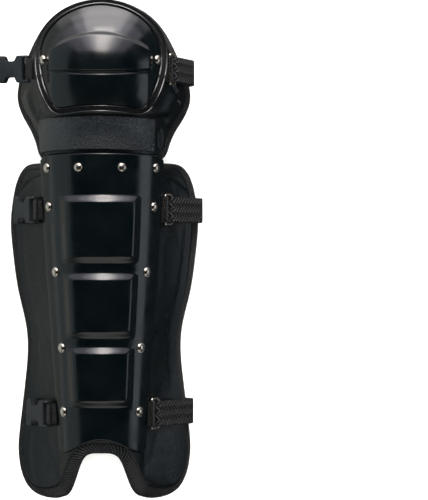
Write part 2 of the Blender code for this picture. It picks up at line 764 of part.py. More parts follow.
def make_strap(name, share, reach, curl):
    """One strap: tab, wire loop, elastic and male buckle half, and the female half across."""
    y = CAP_LOW + share * CAP_LOW_REACH if name == "top" else PLATE_START + share * PLATE_LENGTH
    half, seat = section_seat(name, y)
    start = seat(half + TAB_CLEARANCE, GAP + TAB_THICKNESS / 2)
    wrap = WIRE_RADIUS + GAP + TAB_THICKNESS / 2
    elastic_wrap = WIRE_RADIUS + GAP + STRAP_THICKNESS / 2
    rest = elastic_wrap + STRAP_THICKNESS / 2 + 2 * GAP
    first = seat(half + GAP, rest)
    along = (seat(half + GAP + 0.02, rest) - first).normalized()
    inner_bar = first + along * (LOOP_TAB_REACH + WIRE_RADIUS)
    outer_bar = inner_bar + along * LOOP_LENGTH
    path = tab_path(start, inner_bar, along, wrap, LOOP_TAB_REACH)
    add_ribbon("loop_tab_" + name, path, y, STRAP_WIDTH, TAB_THICKNESS, 1, tape)
    make_loop("wire_loop_" + name, inner_bar, outer_bar, y)
    make_elastic(name, y, outer_bar, along, elastic_wrap, reach, curl)
    make_male(name, y)
    make_female(name, y, half, seat, start)


def make_loop(name, inner_bar, outer_bar, y):
    along = (outer_bar - inner_bar).normalized()
    middle = (inner_bar + outer_bar) / 2
    half_length = (outer_bar - inner_bar).length / 2
    corner = min(LOOP_CORNER, 0.9 * half_length)
    half_width = STRAP_WIDTH / 2 + GAP + corner
    sections = []
    for turn, (sx, sy) in enumerate(((1, 1), (-1, 1), (-1, -1), (1, -1))):
        centre = Vector((sx * (half_length - corner), sy * (half_width - corner)))
        for k in range(3):
            angle = math.pi / 2 * (turn + k / 2)
            out = Vector((math.cos(angle), math.sin(angle)))
            at = centre + out * corner
            ring = []
            for m in range(5):
                phase = 2 * math.pi * m / 5
                flat = at + out * WIRE_RADIUS * math.cos(phase)
                up = WIRE_RADIUS * math.sin(phase)
                place = middle + along * flat.x + Vector((-along.y, along.x)) * up
                ring.append(Vector((place.x, y + flat.y, place.y)))
            sections.append(ring)
    add_ring(name, sections, nickel)


def make_elastic(name, y, bar, along, wrap, reach, curl):
    """Elastic from the loop, curled round the pad's side and laid across the open back."""
    half = STRAP_THICKNESS / 2
    centre = Vector((reach - curl - half, curl + half))
    start = bar + square_up(along) * wrap
    away = start - centre
    touch = math.atan2(away.y, away.x) - math.acos(min(curl / away.length, 1.0))
    angle = math.atan2(along.y, along.x) - math.pi / 2
    path = [bar - square_up(along) * wrap + along * WRAP_LENGTH]
    path += arc(bar, wrap, angle, angle - math.pi, 6)
    path += arc(centre, curl, touch, -math.pi / 2, 10 if curl > 0.012 else 7)
    path += [Vector((STRAP_END + GAP, half))]
    add_ribbon("elastic_strap_" + name, path, y, STRAP_WIDTH, STRAP_THICKNESS, 1, tape)


def make_male(name, y):
    """Male buckle half on the hidden end of a strap, as one plain pronged piece."""
    bm = bmesh.new()
    add_box(bm, (STRAP_END - 0.4 * MALE_LENGTH, y - BUCKLE_WIDTH / 2, 0),
            (STRAP_END, y + BUCKLE_WIDTH / 2, MALE_HEIGHT))
    body = add_object("male_buckle_" + name, bm, acetal, smooth=False)
    bm = bmesh.new()
    prong = (BUCKLE_WIDTH - 2 * BUCKLE_WALL - 4 * GAP) / 2
    for low, high in ((-prong, -0.55 * prong), (0.55 * prong, prong), (-0.12 * prong, 0.12 * prong)):
        add_box(bm, (STRAP_END - MALE_LENGTH, y + low, 0.22 * MALE_HEIGHT),
                (STRAP_END - 0.38 * MALE_LENGTH, y + high, 0.78 * MALE_HEIGHT))
    prongs = add_object("male_prongs_" + name, bm, acetal, smooth=False)
    prongs.hide_render = True
    prongs.display_type = "WIRE"
    modifier = body.modifiers.new("prongs", "BOOLEAN")
    modifier.operation = "UNION"
    modifier.solver = "EXACT"
    modifier.object = prongs


def make_female(name, y, half, seat, start):
    """Female buckle half on a short webbing tab at the left edge."""
    bar_radius = BAR_LENGTH / 2
    wrap = bar_radius * math.sqrt(2) + GAP + TAB_THICKNESS / 2
    lift = BUCKLE_HEIGHT / 2 + 2 * GAP
    if name == "top":
        first = seat(half, SEAT_GAP + 0.7 * WELT_HEIGHT)
        tilt = TOP_BUCKLE_TILT
    else:
        first = seat(half + GAP, lift)
        far = seat(half + 0.72 * (BUCKLE_TAB_REACH + BUCKLE_LENGTH + lift), lift)
        tilt = math.atan2(first.y - far.y, far.x - first.x)
    along = Vector((math.cos(tilt), -math.sin(tilt)))
    bar = first + along * (BUCKLE_TAB_REACH + bar_radius)
    path = tab_path(start, bar, along, wrap, 0.8 * BUCKLE_TAB_REACH)
    add_ribbon("buckle_tab_" + name, path, y, TAB_WIDTH, TAB_THICKNESS, -1, tape)

    half = BUCKLE_WIDTH / 2
    bm = bmesh.new()
    add_box(bm, (-bar_radius, -half, -BUCKLE_HEIGHT / 2), (BUCKLE_LENGTH, half, BUCKLE_HEIGHT / 2))
    bmesh.ops.bevel(bm, geom=bm.edges, offset=0.0012, segments=1, affect="EDGES")
    body = add_object("female_buckle_" + name, bm, acetal, smooth=False)
    bm = bmesh.new()
    mouth = BUCKLE_LENGTH - MOUTH_DEPTH
    add_box(bm, (mouth, -half + BUCKLE_WALL, -BUCKLE_HEIGHT / 2 + BUCKLE_WALL),
            (BUCKLE_LENGTH + 0.01, half - BUCKLE_WALL, BUCKLE_HEIGHT / 2 - BUCKLE_WALL))
    mouth_cutter = add_object("mouth_" + name, bm, acetal)
    bm = bmesh.new()
    start_x = BUCKLE_LENGTH - WINDOW_START - WINDOW_LENGTH
    for low, high in ((-half - 0.01, -WAIST_WIDTH / 2), (WAIST_WIDTH / 2, half + 0.01)):
        add_box(bm, (start_x, low, -BUCKLE_HEIGHT), (start_x + WINDOW_LENGTH, high, BUCKLE_HEIGHT))
    window_cutter = add_object("windows_" + name, bm, acetal)
    bm = bmesh.new()
    slot_end, past = bar_radius + SLOT_LENGTH, 0.02
    outline = (
        (-past, bar_radius), (bar_radius, bar_radius), (bar_radius, -bar_radius), (-past, -bar_radius),
        (-past, -past), (slot_end, -past), (slot_end, past), (-past, past),
    )
    add_prism(bm, outline, TAB_WIDTH / 2 + 2 * GAP)
    slot_cutter = add_object("slot_" + name, bm, acetal)
    place = Matrix.Translation((-bar.x, y, bar.y)) @ Matrix.Rotation(math.pi, 4, "Z")
    place = place @ Matrix.Rotation(tilt, 4, "Y")
    for obj in (body, mouth_cutter, window_cutter, slot_cutter):
        obj.matrix_local = place
    for cutter in (mouth_cutter, window_cutter, slot_cutter):
        cut(body, cutter)


for strap in STRAPS:
    make_strap(*strap)

# The root carries everything so that the guard stands on the ground at its middle
bpy.context.view_layer.update()
corners = []
for obj in bpy.data.objects:
    if obj.type == "MESH" and not obj.hide_render:
        corners += [obj.matrix_world @ Vector(corner) for corner in obj.bound_box]
low = [min(corner[k] for corner in corners) for k in range(3)]
high = [max(corner[k] for corner in corners) for k in range(3)]
root.location = (-(low[0] + high[0]) / 2, -(low[1] + high[1]) / 2, -low[2])
bpy.context.view_layer.update()
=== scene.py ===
import math

import bmesh
import bpy
from mathutils import Matrix, Vector
from mathutils.bvhtree import BVHTree
from mathutils.kdtree import KDTree


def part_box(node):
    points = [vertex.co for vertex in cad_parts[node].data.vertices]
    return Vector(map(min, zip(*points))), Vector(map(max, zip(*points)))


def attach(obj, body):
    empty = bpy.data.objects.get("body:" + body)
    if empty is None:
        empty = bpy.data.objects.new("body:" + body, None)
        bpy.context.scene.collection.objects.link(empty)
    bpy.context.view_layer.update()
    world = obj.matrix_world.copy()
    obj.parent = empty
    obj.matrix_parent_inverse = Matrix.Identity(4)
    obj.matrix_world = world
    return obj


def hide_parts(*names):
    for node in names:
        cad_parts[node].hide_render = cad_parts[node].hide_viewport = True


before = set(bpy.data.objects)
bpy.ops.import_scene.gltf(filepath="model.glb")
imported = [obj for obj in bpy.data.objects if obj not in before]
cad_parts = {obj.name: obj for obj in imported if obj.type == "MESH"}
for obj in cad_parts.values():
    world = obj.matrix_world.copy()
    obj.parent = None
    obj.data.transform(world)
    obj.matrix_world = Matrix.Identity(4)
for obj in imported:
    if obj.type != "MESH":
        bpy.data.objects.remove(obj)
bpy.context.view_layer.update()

# Everything is laid out in the guard's own plan, in metres: x from its middle line,
# y from the tips of the foot lobes, and z from the table.
gap = 0.0003  # between pieces that touch
seatGap = 0.0009  # between a moulded shell and the pad under it


def interpolate(table, at):  # a smooth curve through a table of places and values
    keys = [row[0] for row in table]
    at = min(max(at, keys[0]), keys[-1])
    i = max(k for k in range(len(table) - 1) if keys[k] <= at)
    before, after = max(i - 1, 0), min(i + 2, len(table) - 1)
    span = keys[i + 1] - keys[i]
    t = (at - keys[i]) / span
    low, high = table[i][1], table[i + 1][1]
    slopeLow = (high - table[before][1]) / (keys[i + 1] - keys[before]) * span
    slopeHigh = (table[after][1] - low) / (keys[after] - keys[i]) * span
    return (low * (2 * t**3 - 3 * t**2 + 1) + high * (3 * t**2 - 2 * t**3)
            + slopeLow * (t**3 - 2 * t**2 + t) + slopeHigh * (t**3 - t**2))


def evenly(points, count):  # the same line cut into equal lengths
    lengths = [0.0]
    for a, b in zip(points, points[1:]):
        lengths.append(lengths[-1] + (b - a).length)
    result, k = [], 0
    for i in range(count):
        want = lengths[-1] * i / (count - 1)
        while k < len(points) - 2 and lengths[k + 1] < want:
            k += 1
        result.append(points[k].lerp(points[k + 1], (want - lengths[k]) / (lengths[k + 1] - lengths[k])))
    return result


def curveThrough(knots, count):  # evenly spaced points on a smooth curve through the knots
    fine = []
    for i in range(len(knots) - 1):
        a, b = Vector(knots[max(i - 1, 0)]), Vector(knots[i])
        c, d = Vector(knots[i + 1]), Vector(knots[min(i + 2, len(knots) - 1)])
        for k in range(12):
            t = k / 12
            fine.append(0.5 * (2 * b + (c - a) * t + (2 * a - 5 * b + 4 * c - d) * t**2
                               + (3 * b - a - 3 * c + d) * t**3))
    fine.append(Vector(knots[-1]))
    return evenly(fine, count)


def smoothStep(low, high, value):  # 0 up to low, 1 from high
    t = min(max((value - low) / (high - low), 0.0), 1.0)
    return t * t * (3 - 2 * t)


def smoothMax(a, b, width):
    return 0.5 * (a + b + math.sqrt((a - b) ** 2 + width**2))


def smoothMin(a, b, width):
    return -smoothMax(-a, -b, width)


plate = {
    "start": 0.045, "length": 0.2745, "halfWidth": 0.0552, "wall": 0.003,
    "arch": 0.0145, "dip": 0.0024, "crown": 0.0015, "corner": 0.007, "bulge": 0.87, "crest": 0.077,
    "side": ((0.0, 0.685), (0.117, 0.722), (0.40, 0.815), (0.70, 0.925), (1.0, 1.0)),
    "bossHeight": 0.005, "bossBevel": 0.006, "bossShare": 0.645, "bossFillet": 0.0012,
    "bosses": ((0.155, 0.357), (0.386, 0.604), (0.637, 0.864)),
    "edgeRound": 0.0016, "endSteps": (0.0, 0.035, 0.07, 0.11, 0.16, 0.25, 0.38, 0.55, 0.77),
}
shinPad = {
    "length": 0.3133, "halfWidth": 0.0898, "crotch": 0.0444, "lobeHalfWidth": 0.0826,
    "thickness": 0.010, "rimThickness": 0.006, "rimHeight": 0.009,
    "wingSlope": 1.25, "wingFlare": 1.38, "rimBlend": 0.006, "softness": 0.005,
    "lobeEdge": (
        (0.00, 1.00), (0.15, 0.985), (0.235, 0.83), (0.31, 0.478), (0.375, 0.19), (0.46, 0.03),
        (0.60, -0.03), (0.757, 0.02), (0.871, 0.16), (0.945, 0.41), (0.983, 0.69), (1.00, 1.027),
    ),
    "side": (
        (0.1455, 0.918), (0.194, 0.907), (0.290, 0.868), (0.412, 0.822), (0.479, 0.820),
        (0.533, 0.848), (0.632, 0.929), (0.753, 0.984), (0.827, 1.000), (0.899, 0.975),
        (0.948, 0.935), (0.980, 0.880), (1.000, 0.800),
    ),
    "profile": ((0.0, 0.79), (0.16, 0.845), (0.35, 0.915), (0.65, 0.975), (0.88, 1.0), (1.0, 0.998)),
}
neck = {
    "clearance": 0.0032, "height": 0.0297, "halfWidth": 0.052, "arch": 0.0018, "thickness": 0.0065,
    "edge": 0.0025, "middle": -0.0040, "reach": 0.0510, "topFlare": 0.0010, "columns": 61, "rows": 37,
    "fold": 0.0009, "folds": 9, "foldFrom": (1.05, 1.25), "foldStretch": 2.2, "foldReach": 0.45,
}
cap = {
    "halfWidth": 0.0582, "topReach": 0.051, "lowReach": 0.0543, "lowOval": 0.0736, "arch": 0.0039,
    "wall": 0.003, "radius": 0.0612, "crest": 0.0995, "domeShare": 0.86, "softness": 0.010,
    "weltWidth": 0.006, "weltHeight": 0.0045, "topDrop": 0.46, "topPower": 2.2,
}
kneePad = {
    "halfWidth": 0.0840, "rim": 0.0037, "neckHalfWidth": 0.0595, "softness": 0.012,
    "highLine": 0.35, "wingLine": 0.40,  # shares of the cap's reach
    "profile": ((0.0, 0.0), (0.12, 0.01), (0.24, 0.07), (0.44, 0.30), (0.60, 0.60), (0.80, 0.90), (1.0, 1.0)),
    "side": ((0.0, 0.0), (0.18, 0.09), (0.42, 0.30), (0.60, 0.60), (0.78, 0.86), (1.0, 1.0)),
    "topEdge": (
        (1.00, 0.00), (0.985, 0.08), (0.855, 0.39), (0.70, 0.68), (0.555, 0.83), (0.39, 0.935),
        (0.20, 0.985), (0.0, 1.0),
    ),
}
plateTop = plate["start"] + plate["length"]
neckLow = plateTop + plate["crown"] + neck["clearance"] / 2
neckTop = neckLow + neck["height"]
capLow = neckTop + neck["arch"] + neck["clearance"] / 2
capMiddle = capLow + cap["lowReach"]
capTop = capMiddle + cap["topReach"]
kneeLow = shinPad["length"] + gap
kneeTop = capTop + kneePad["rim"]
kneeHighLine = capMiddle - kneePad["highLine"] * cap["topReach"]
wingLine = capLow + kneePad["wingLine"] * cap["lowReach"]

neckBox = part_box("neck_panel")  # the plan's place in the frame, read off one CAD piece
place = Vector(((neckBox[0].x + neckBox[1].x) / 2, neckBox[0].y - neckLow, 0.0))


# Surfaces of the pads, on which everything else is built

def plateHalf(y):
    return plate["halfWidth"] * interpolate(plate["side"], (y - plate["start"]) / plate["length"])


def shinSideHalf(y):
    return shinPad["halfWidth"] * interpolate(shinPad["side"], y / shinPad["length"])


def shinHeight(x, y):
    crest = plate["crest"] * interpolate(shinPad["profile"], y / shinPad["length"])
    core = plateHalf(y)
    radius = core / plate["bulge"]
    across = abs(x)
    if across <= core:
        return crest - radius + math.sqrt(radius**2 - across**2)
    shoulder = crest - radius + math.sqrt(radius**2 - core**2)
    reach = max(shinSideHalf(y) - core, 0.25 * core)
    rim = smoothMax(shoulder - shinPad["wingSlope"] * reach, shinPad["rimHeight"], shinPad["rimBlend"])
    s = (across - core) / reach
    flare = shinPad["wingFlare"]
    return shoulder - (shoulder - rim) * (flare * s - (flare - 1) * s * s)


def kneeHeight(x, y):
    neckCrest = plate["crest"] * shinPad["profile"][-1][1] - gap
    neckRadius = plate["halfWidth"] / plate["bulge"]
    if y < kneeHighLine:
        share = (y - kneeLow) / (kneeHighLine - kneeLow)
        crest = neckCrest + (cap["crest"] - neckCrest) * interpolate(kneePad["profile"], share)
    else:
        share = (y - kneeHighLine) / (capTop - kneeHighLine)
        crest = cap["crest"] * (1 - cap["topDrop"] * share ** cap["topPower"])
    radius = neckRadius + (cap["radius"] - neckRadius) * smoothStep(neckLow, capLow, y)
    edge = cap["domeShare"] * radius
    across = min(abs(x), edge)
    side = edge / math.sqrt(radius**2 - edge**2)
    return crest - radius + math.sqrt(radius**2 - across**2) - side * (abs(x) - across)


def normalAt(height, x, y, lengthwise=1.0):  # lengthwise 0 keeps it square to the length
    step = 0.0005
    across = (height(x + step, y) - height(x - step, y)) / (2 * step)
    along = (height(x, y + step) - height(x, y - step)) / (2 * step)
    return Vector((-across, -along * lengthwise, 1.0)).normalized()


def onSurface(height, x, y, lift, lengthwise=1.0):
    return Vector((x, y, height(x, y))) + normalAt(height, x, y, lengthwise) * lift


def squareEnds(y):
    return 0.0


def kneeEnds(y):
    return smoothStep(kneeLow, kneeLow + 0.03, y)


# Outlines in plan

def inset(loop, distance):
    result = []
    for i, point in enumerate(loop):
        along = (loop[(i + 1) % len(loop)] - loop[i - 1]).normalized()
        step = distance(point) if callable(distance) else distance
        result.append(point + Vector((-along.y, along.x)) * step)
    return result


def mirroredEdge(rightHalf):  # a whole line from its right half
    return [Vector((-p.x, p.y)) for p in reversed(rightHalf)] + rightHalf[1:]


def closedOutline(low, side, top):  # once round, from the lower left corner
    left = [Vector((-p.x, p.y)) for p in side]
    return low[:-1] + side[:-1] + list(reversed(top))[:-1] + list(reversed(left))[:-1]


def softEdges(low, side, top, counts, softness):  # rounded corners and even steps
    fineSteps = 360
    whole = low + side[1:] + top[1:]
    lengths = [sum((b - a).length for a, b in zip(part, part[1:])) for part in (low, side, top)]
    fine = evenly(whole, fineSteps + 1)
    reach = round(softness / sum(lengths) * fineSteps)
    rounded = []
    for i in range(len(fine)):
        near = min(reach, i, len(fine) - 1 - i)
        window = fine[i - near:i + near + 1]
        rounded.append(sum(window, Vector((0, 0))) / len(window))
    first = round(lengths[0] / sum(lengths) * fineSteps)
    second = round((lengths[0] + lengths[1]) / sum(lengths) * fineSteps)
    low = evenly(rounded[:first + 1], counts[0])
    side = evenly(rounded[first:second + 1], counts[1])
    top = evenly(list(reversed(rounded[second:])), counts[0])
    return mirroredEdge(low), side, mirroredEdge(top)


def shinPadEdges(counts):
    knots = [(a * shinPad["lobeHalfWidth"], u * shinPad["crotch"]) for a, u in shinPad["lobeEdge"]]
    low = curveThrough(knots, 120)
    side = [(w * shinPad["halfWidth"], u * shinPad["length"]) for u, w in shinPad["side"][1:]]
    side = curveThrough([knots[-1]] + side, 120)
    top = [side[-1], Vector((0, shinPad["length"]))]
    return softEdges(low, side, top, counts, shinPad["softness"])


def kneePadEdges(counts):
    neckHalf, wingHalf = kneePad["neckHalfWidth"], kneePad["halfWidth"]
    low = [Vector((0, kneeLow)), Vector((neckHalf, kneeLow))]
    side = [(neckHalf + (wingHalf - neckHalf) * w, kneeLow + u * (wingLine - kneeLow))
            for u, w in kneePad["side"]]
    top = [(w * wingHalf, wingLine + u * (kneeTop - wingLine)) for w, u in kneePad["topEdge"]]
    return softEdges(low, curveThrough(side, 60), curveThrough(top, 80), counts, kneePad["softness"])


def capHalf(y):
    return cap["halfWidth"] * math.sqrt(max(1 - ((capMiddle - y) / cap["lowOval"]) ** 2, 0.0))


def capEdges(counts):
    low, side, top = [], [], []
    for i in range(41):
        share = i / 40
        low.append(Vector((capHalf(capLow) * share, capLow + cap["arch"] * (1 - share**2))))
        y = capMiddle - cap["lowReach"] * (1 - share)
        side.append(Vector((capHalf(y), y)))
        turn = math.pi / 2 * share
        top.append(Vector((cap["halfWidth"] * math.cos(turn), capMiddle + cap["topReach"] * math.sin(turn))))
    return softEdges(low, side, top, counts, cap["softness"])


def patch(edges, distance):  # grid of plan points that fills an outline
    low, side, top = edges
    loop = inset(closedOutline(low, side, top), distance)
    across, up = len(low), len(side)
    low = loop[:across]
    side = loop[across - 1:across + up - 1]
    top = list(reversed(loop[across + up - 2:2 * across + up - 2]))
    left = [loop[0]] + list(reversed(loop[2 * across + up - 3:]))
    grid = []
    for j in range(up):
        t = j / (up - 1)
        row = []
        for i in range(across):
            s = i / (across - 1)
            edge = low[i] * (1 - t) + top[i] * t + left[j] * (1 - s) + side[j] * s
            corner = (low[0] * (1 - s) + low[-1] * s) * (1 - t) + (top[0] * (1 - s) + top[-1] * s) * t
            row.append(edge - corner)
        grid.append(row)
    return grid


def crowd(t):  # closer steps near both ends
    return 0.3 * t + 0.35 * (1 - math.cos(math.pi * t))


def crowdedPatch(edges, distance):  # the same grid with closer lines along its border
    grid = patch(edges, distance)
    rows, columns = len(grid), len(grid[0])
    result = []
    for j in range(rows):
        v = crowd(j / (rows - 1)) * (rows - 1)
        low = min(int(v), rows - 2)
        row = []
        for i in range(columns):
            u = crowd(i / (columns - 1)) * (columns - 1)
            left = min(int(u), columns - 2)
            near = grid[low][left].lerp(grid[low][left + 1], u - left)
            far = grid[low + 1][left].lerp(grid[low + 1][left + 1], u - left)
            row.append(near.lerp(far, v - low))
        result.append(row)
    return result


# Meshes

def looseObject(bm, name, materials=()):
    mesh = bpy.data.meshes.new(name)
    bmesh.ops.recalc_face_normals(bm, faces=bm.faces)
    bm.to_mesh(mesh)
    bm.free()
    for material in materials:
        mesh.materials.append(material)
    obj = bpy.data.objects.new(name, mesh)
    bpy.context.scene.collection.objects.link(obj)
    return obj


def bakeModifiers(obj):
    depsgraph = bpy.context.evaluated_depsgraph_get()
    mesh = bpy.data.meshes.new_from_object(obj.evaluated_get(depsgraph), depsgraph=depsgraph)
    obj.modifiers.clear()
    old = obj.data
    obj.data = mesh
    bpy.data.meshes.remove(old)
    mesh.name = obj.name


def shade(obj, sharpAngle):
    obj.data.shade_smooth()
    obj.data.set_sharp_from_angle(angle=math.radians(sharpAngle))


def handOver(obj, slotName, *nodes):  # a finished piece rides the guard in place of its CAD nodes
    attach(obj, "root")
    if nodes:
        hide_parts(*nodes)


def finishMesh(bm, name, materials, slotName, node, sharpAngle=40):
    obj = looseObject(bm, name, materials)
    obj.data.transform(Matrix.Translation(place))
    shade(obj, sharpAngle)
    handOver(obj, slotName, node)
    return obj


def wallMesh(outer, inner):  # a solid between two grids; the inner faces take the second material
    bm = bmesh.new()
    rows, columns = len(outer), len(outer[0])
    grids = [[[bm.verts.new(p) for p in row] for row in grid] for grid in (outer, inner)]
    for index, grid in enumerate(grids):
        for j in range(rows - 1):
            for i in range(columns - 1):
                face = bm.faces.new((grid[j][i], grid[j][i + 1], grid[j + 1][i + 1], grid[j + 1][i]))
                face.material_index = index
    rim = [(0, i) for i in range(columns)] + [(j, columns - 1) for j in range(1, rows)]
    rim += [(rows - 1, i) for i in range(columns - 2, -1, -1)] + [(j, 0) for j in range(rows - 2, 0, -1)]
    for (j, i), (l, k) in zip(rim, rim[1:] + rim[:1]):
        bm.faces.new((grids[0][j][i], grids[1][j][i], grids[1][l][k], grids[0][l][k]))
    return bm


def wallOver(height, rows):  # a wall on a surface; a spot is x, y, its upper and lower lift, and lengthwise
    outer = [[onSurface(height, x, y, high, along) for x, y, high, low, along in row] for row in rows]
    inner = [[onSurface(height, x, y, low, along) for x, y, high, low, along in row] for row in rows]
    return wallMesh(outer, inner)


def railMesh(sections, closed=True):  # a rail through sections, with a UV map in metres: along, across
    bm = bmesh.new()
    uv = bm.loops.layers.uv.new("along")
    rings = [[bm.verts.new(p) for p in section] for section in sections]
    count = len(rings)
    size = len(rings[0])
    along = [0.0]
    for k in range(count):
        along.append(along[-1] + (Vector(sections[(k + 1) % count][0]) - Vector(sections[k][0])).length)
    around = [0.0]
    for k in range(size):
        around.append(around[-1] + (Vector(sections[0][(k + 1) % size]) - Vector(sections[0][k])).length)
    for j in range(count if closed else count - 1):
        a, b = rings[j], rings[(j + 1) % count]
        for k in range(size):
            m = (k + 1) % size
            face = bm.faces.new((a[k], a[m], b[m], b[k]))
            corners = ((along[j], around[k]), (along[j], around[k + 1]),
                       (along[j + 1], around[k + 1]), (along[j + 1], around[k]))
            for loop, corner in zip(face.loops, corners):
                loop[uv].uv = corner
    if not closed:
        bm.faces.new(rings[0])
        bm.faces.new(rings[-1])
    return bm


def stations(spans):  # places along a line, each span with its own spacing
    result = [spans[0][0]]
    for start, end, spacing in spans:
        steps = max(1, math.ceil((end - start) / spacing))
        result += [start + (end - start) * k / steps for k in range(1, steps + 1)]
    return result


# Materials

def srgb(hexText):
    values = [int(hexText[k:k + 2], 16) / 255 for k in (1, 3, 5)]
    return [v / 12.92 if v <= 0.04045 else ((v + 0.055) / 1.055) ** 2.4 for v in values] + [1.0]


def connect(tree, node, values):  # each value: an input or property, and its constant, socket or node
    for key, value in values:
        if isinstance(value, bpy.types.Node):
            value = value.outputs[0]
        if isinstance(value, bpy.types.NodeSocket):
            tree.links.new(value, node.inputs[key])
        elif isinstance(key, str) and hasattr(node, key):
            setattr(node, key, value)
        else:
            node.inputs[key].default_value = value
    return node


def addNode(tree, kind, *values):
    return connect(tree, tree.nodes.new(kind), values)


def startMaterial(name, colour, *values):
    material = bpy.data.materials.new(name)
    material.use_nodes = True
    tree = material.node_tree
    shader = connect(tree, tree.nodes["Principled BSDF"], (("Base Color", srgb(colour)),) + values)
    return material, tree, shader


absFinish = {
    "colour": "#010405", "worn": "#05090b", "roughness": (0.15, 0.26), "scuffSize": 0.018,
    "peelSize": 0.0016, "peelHeight": 0.00002,
}


def makeGlossAbs():
    # Injection-moulded ABS, glossy black: a slight orange peel and fine handling scuffs soften its mirror
    material, tree, shader = startMaterial("mouldedGlossAbs", absFinish["colour"], ("IOR", 1.54))
    spot = addNode(tree, "ShaderNodeTexCoord").outputs["Object"]
    scuff = addNode(tree, "ShaderNodeTexNoise", ("Scale", 1 / absFinish["scuffSize"]), ("Detail", 5.0),
                    ("Vector", spot))
    low, high = absFinish["roughness"]
    rough = addNode(tree, "ShaderNodeMapRange", ("From Min", 0.35), ("From Max", 0.7), ("To Min", low),
                    ("To Max", high), ("Value", scuff))
    tint = addNode(tree, "ShaderNodeMix", ("data_type", "RGBA"), (0, scuff),
                   (6, srgb(absFinish["colour"])), (7, srgb(absFinish["worn"])))
    peel = addNode(tree, "ShaderNodeTexNoise", ("Scale", 1 / absFinish["peelSize"]), ("Detail", 2.0),
                   ("Vector", spot))
    bump = addNode(tree, "ShaderNodeBump", ("Strength", 0.35), ("Distance", absFinish["peelHeight"]),
                   ("Height", peel))
    connect(tree, shader, (("Base Color", tint.outputs[2]), ("Roughness", rough), ("Normal", bump)))
    return material


# crease, in both leather finishes, is painted shade: the darker colour laid into the grain's valleys
leatherFinish = {
    "colour": "#050a0c", "crease": "#010203", "roughness": (0.25, 0.34), "grainSize": 0.0011,
    "grainHeight": 0.00026, "foldSize": 0.016, "foldHeight": 0.0006, "shine": 0.45,
}
# the neck panel's base colour is raised above the pad leather's partly as painted sheen for its convex face;
# its coarser grain and stronger specular are the material's own
neckFinishAndPaintedSheen = {
    "colour": "#151b20", "crease": "#050709", "roughness": (0.32, 0.42), "grainSize": 0.0016,
    "grainHeight": 0.0007, "foldSize": 0.011, "foldHeight": 0.0008, "shine": 1.0,
}


def makeLeather(name, finish):
    # PU-coated leatherette with an embossed pebble grain: shallow cells, their valleys darkened with painted
    # shade
    material, tree, shader = startMaterial(name, finish["colour"], ("IOR", 1.5),
                                           ("Specular IOR Level", finish["shine"]))
    spot = addNode(tree, "ShaderNodeTexCoord").outputs["Object"]
    warp = addNode(tree, "ShaderNodeTexNoise", ("Scale", 260.0), ("Detail", 2.0), ("Vector", spot))
    offset = addNode(tree, "ShaderNodeVectorMath", ("operation", "MULTIPLY_ADD"),
                     (0, warp.outputs["Color"]), (1, (0.0012,) * 3), (2, spot))
    cells = addNode(tree, "ShaderNodeTexVoronoi", ("feature", "SMOOTH_F1"), ("Smoothness", 0.6),
                    ("Scale", 1 / finish["grainSize"]), ("Vector", offset))
    # painted shade: the cells' borders, the grain's valleys, take the darker crease colour
    tint = addNode(tree, "ShaderNodeMix", ("data_type", "RGBA"), (0, cells),
                   (6, srgb(finish["colour"])), (7, srgb(finish["crease"])))
    folds = addNode(tree, "ShaderNodeTexNoise", ("Scale", 1 / finish["foldSize"]), ("Detail", 4.0),
                    ("Vector", spot))
    low, high = finish["roughness"]
    rough = addNode(tree, "ShaderNodeMapRange", ("From Min", 0.3), ("From Max", 0.7), ("To Min", low),
                    ("To Max", high), ("Value", folds))
    grain = addNode(tree, "ShaderNodeBump", ("invert", True), ("Strength", 0.8),
                    ("Distance", finish["grainHeight"]), ("Height", cells))
    wrinkle = addNode(tree, "ShaderNodeBump", ("Strength", 0.5), ("Distance", finish["foldHeight"]),
                      ("Height", folds), ("Normal", grain))
    connect(tree, shader, (("Base Color", tint.outputs[2]), ("Roughness", rough), ("Normal", wrinkle)))
    return material


liningFinish = {"colour": "#121416", "mesh": "#08090a", "holeSize": 0.0021}


def makeLining():
    # Warp-knitted polyester air mesh, brushed: small round holes in rows on a soft, dull ground
    material, tree, shader = startMaterial("airMeshLining", liningFinish["colour"], ("Roughness", 0.9),
                                           ("Sheen Weight", 0.25))
    spot = addNode(tree, "ShaderNodeTexCoord").outputs["Object"]
    holes = addNode(tree, "ShaderNodeTexVoronoi", ("Scale", 1 / liningFinish["holeSize"]),
                    ("Randomness", 0.15), ("Vector", spot))
    edge = addNode(tree, "ShaderNodeMapRange", ("From Min", 0.28), ("From Max", 0.42), ("Value", holes))
    tint = addNode(tree, "ShaderNodeMix", ("data_type", "RGBA"), (0, edge),
                   (6, srgb(liningFinish["mesh"])), (7, srgb(liningFinish["colour"])))
    bump = addNode(tree, "ShaderNodeBump", ("Strength", 0.8), ("Distance", 0.0004), ("Height", edge))
    connect(tree, shader, (("Base Color", tint.outputs[2]), ("Normal", bump)))
    return material


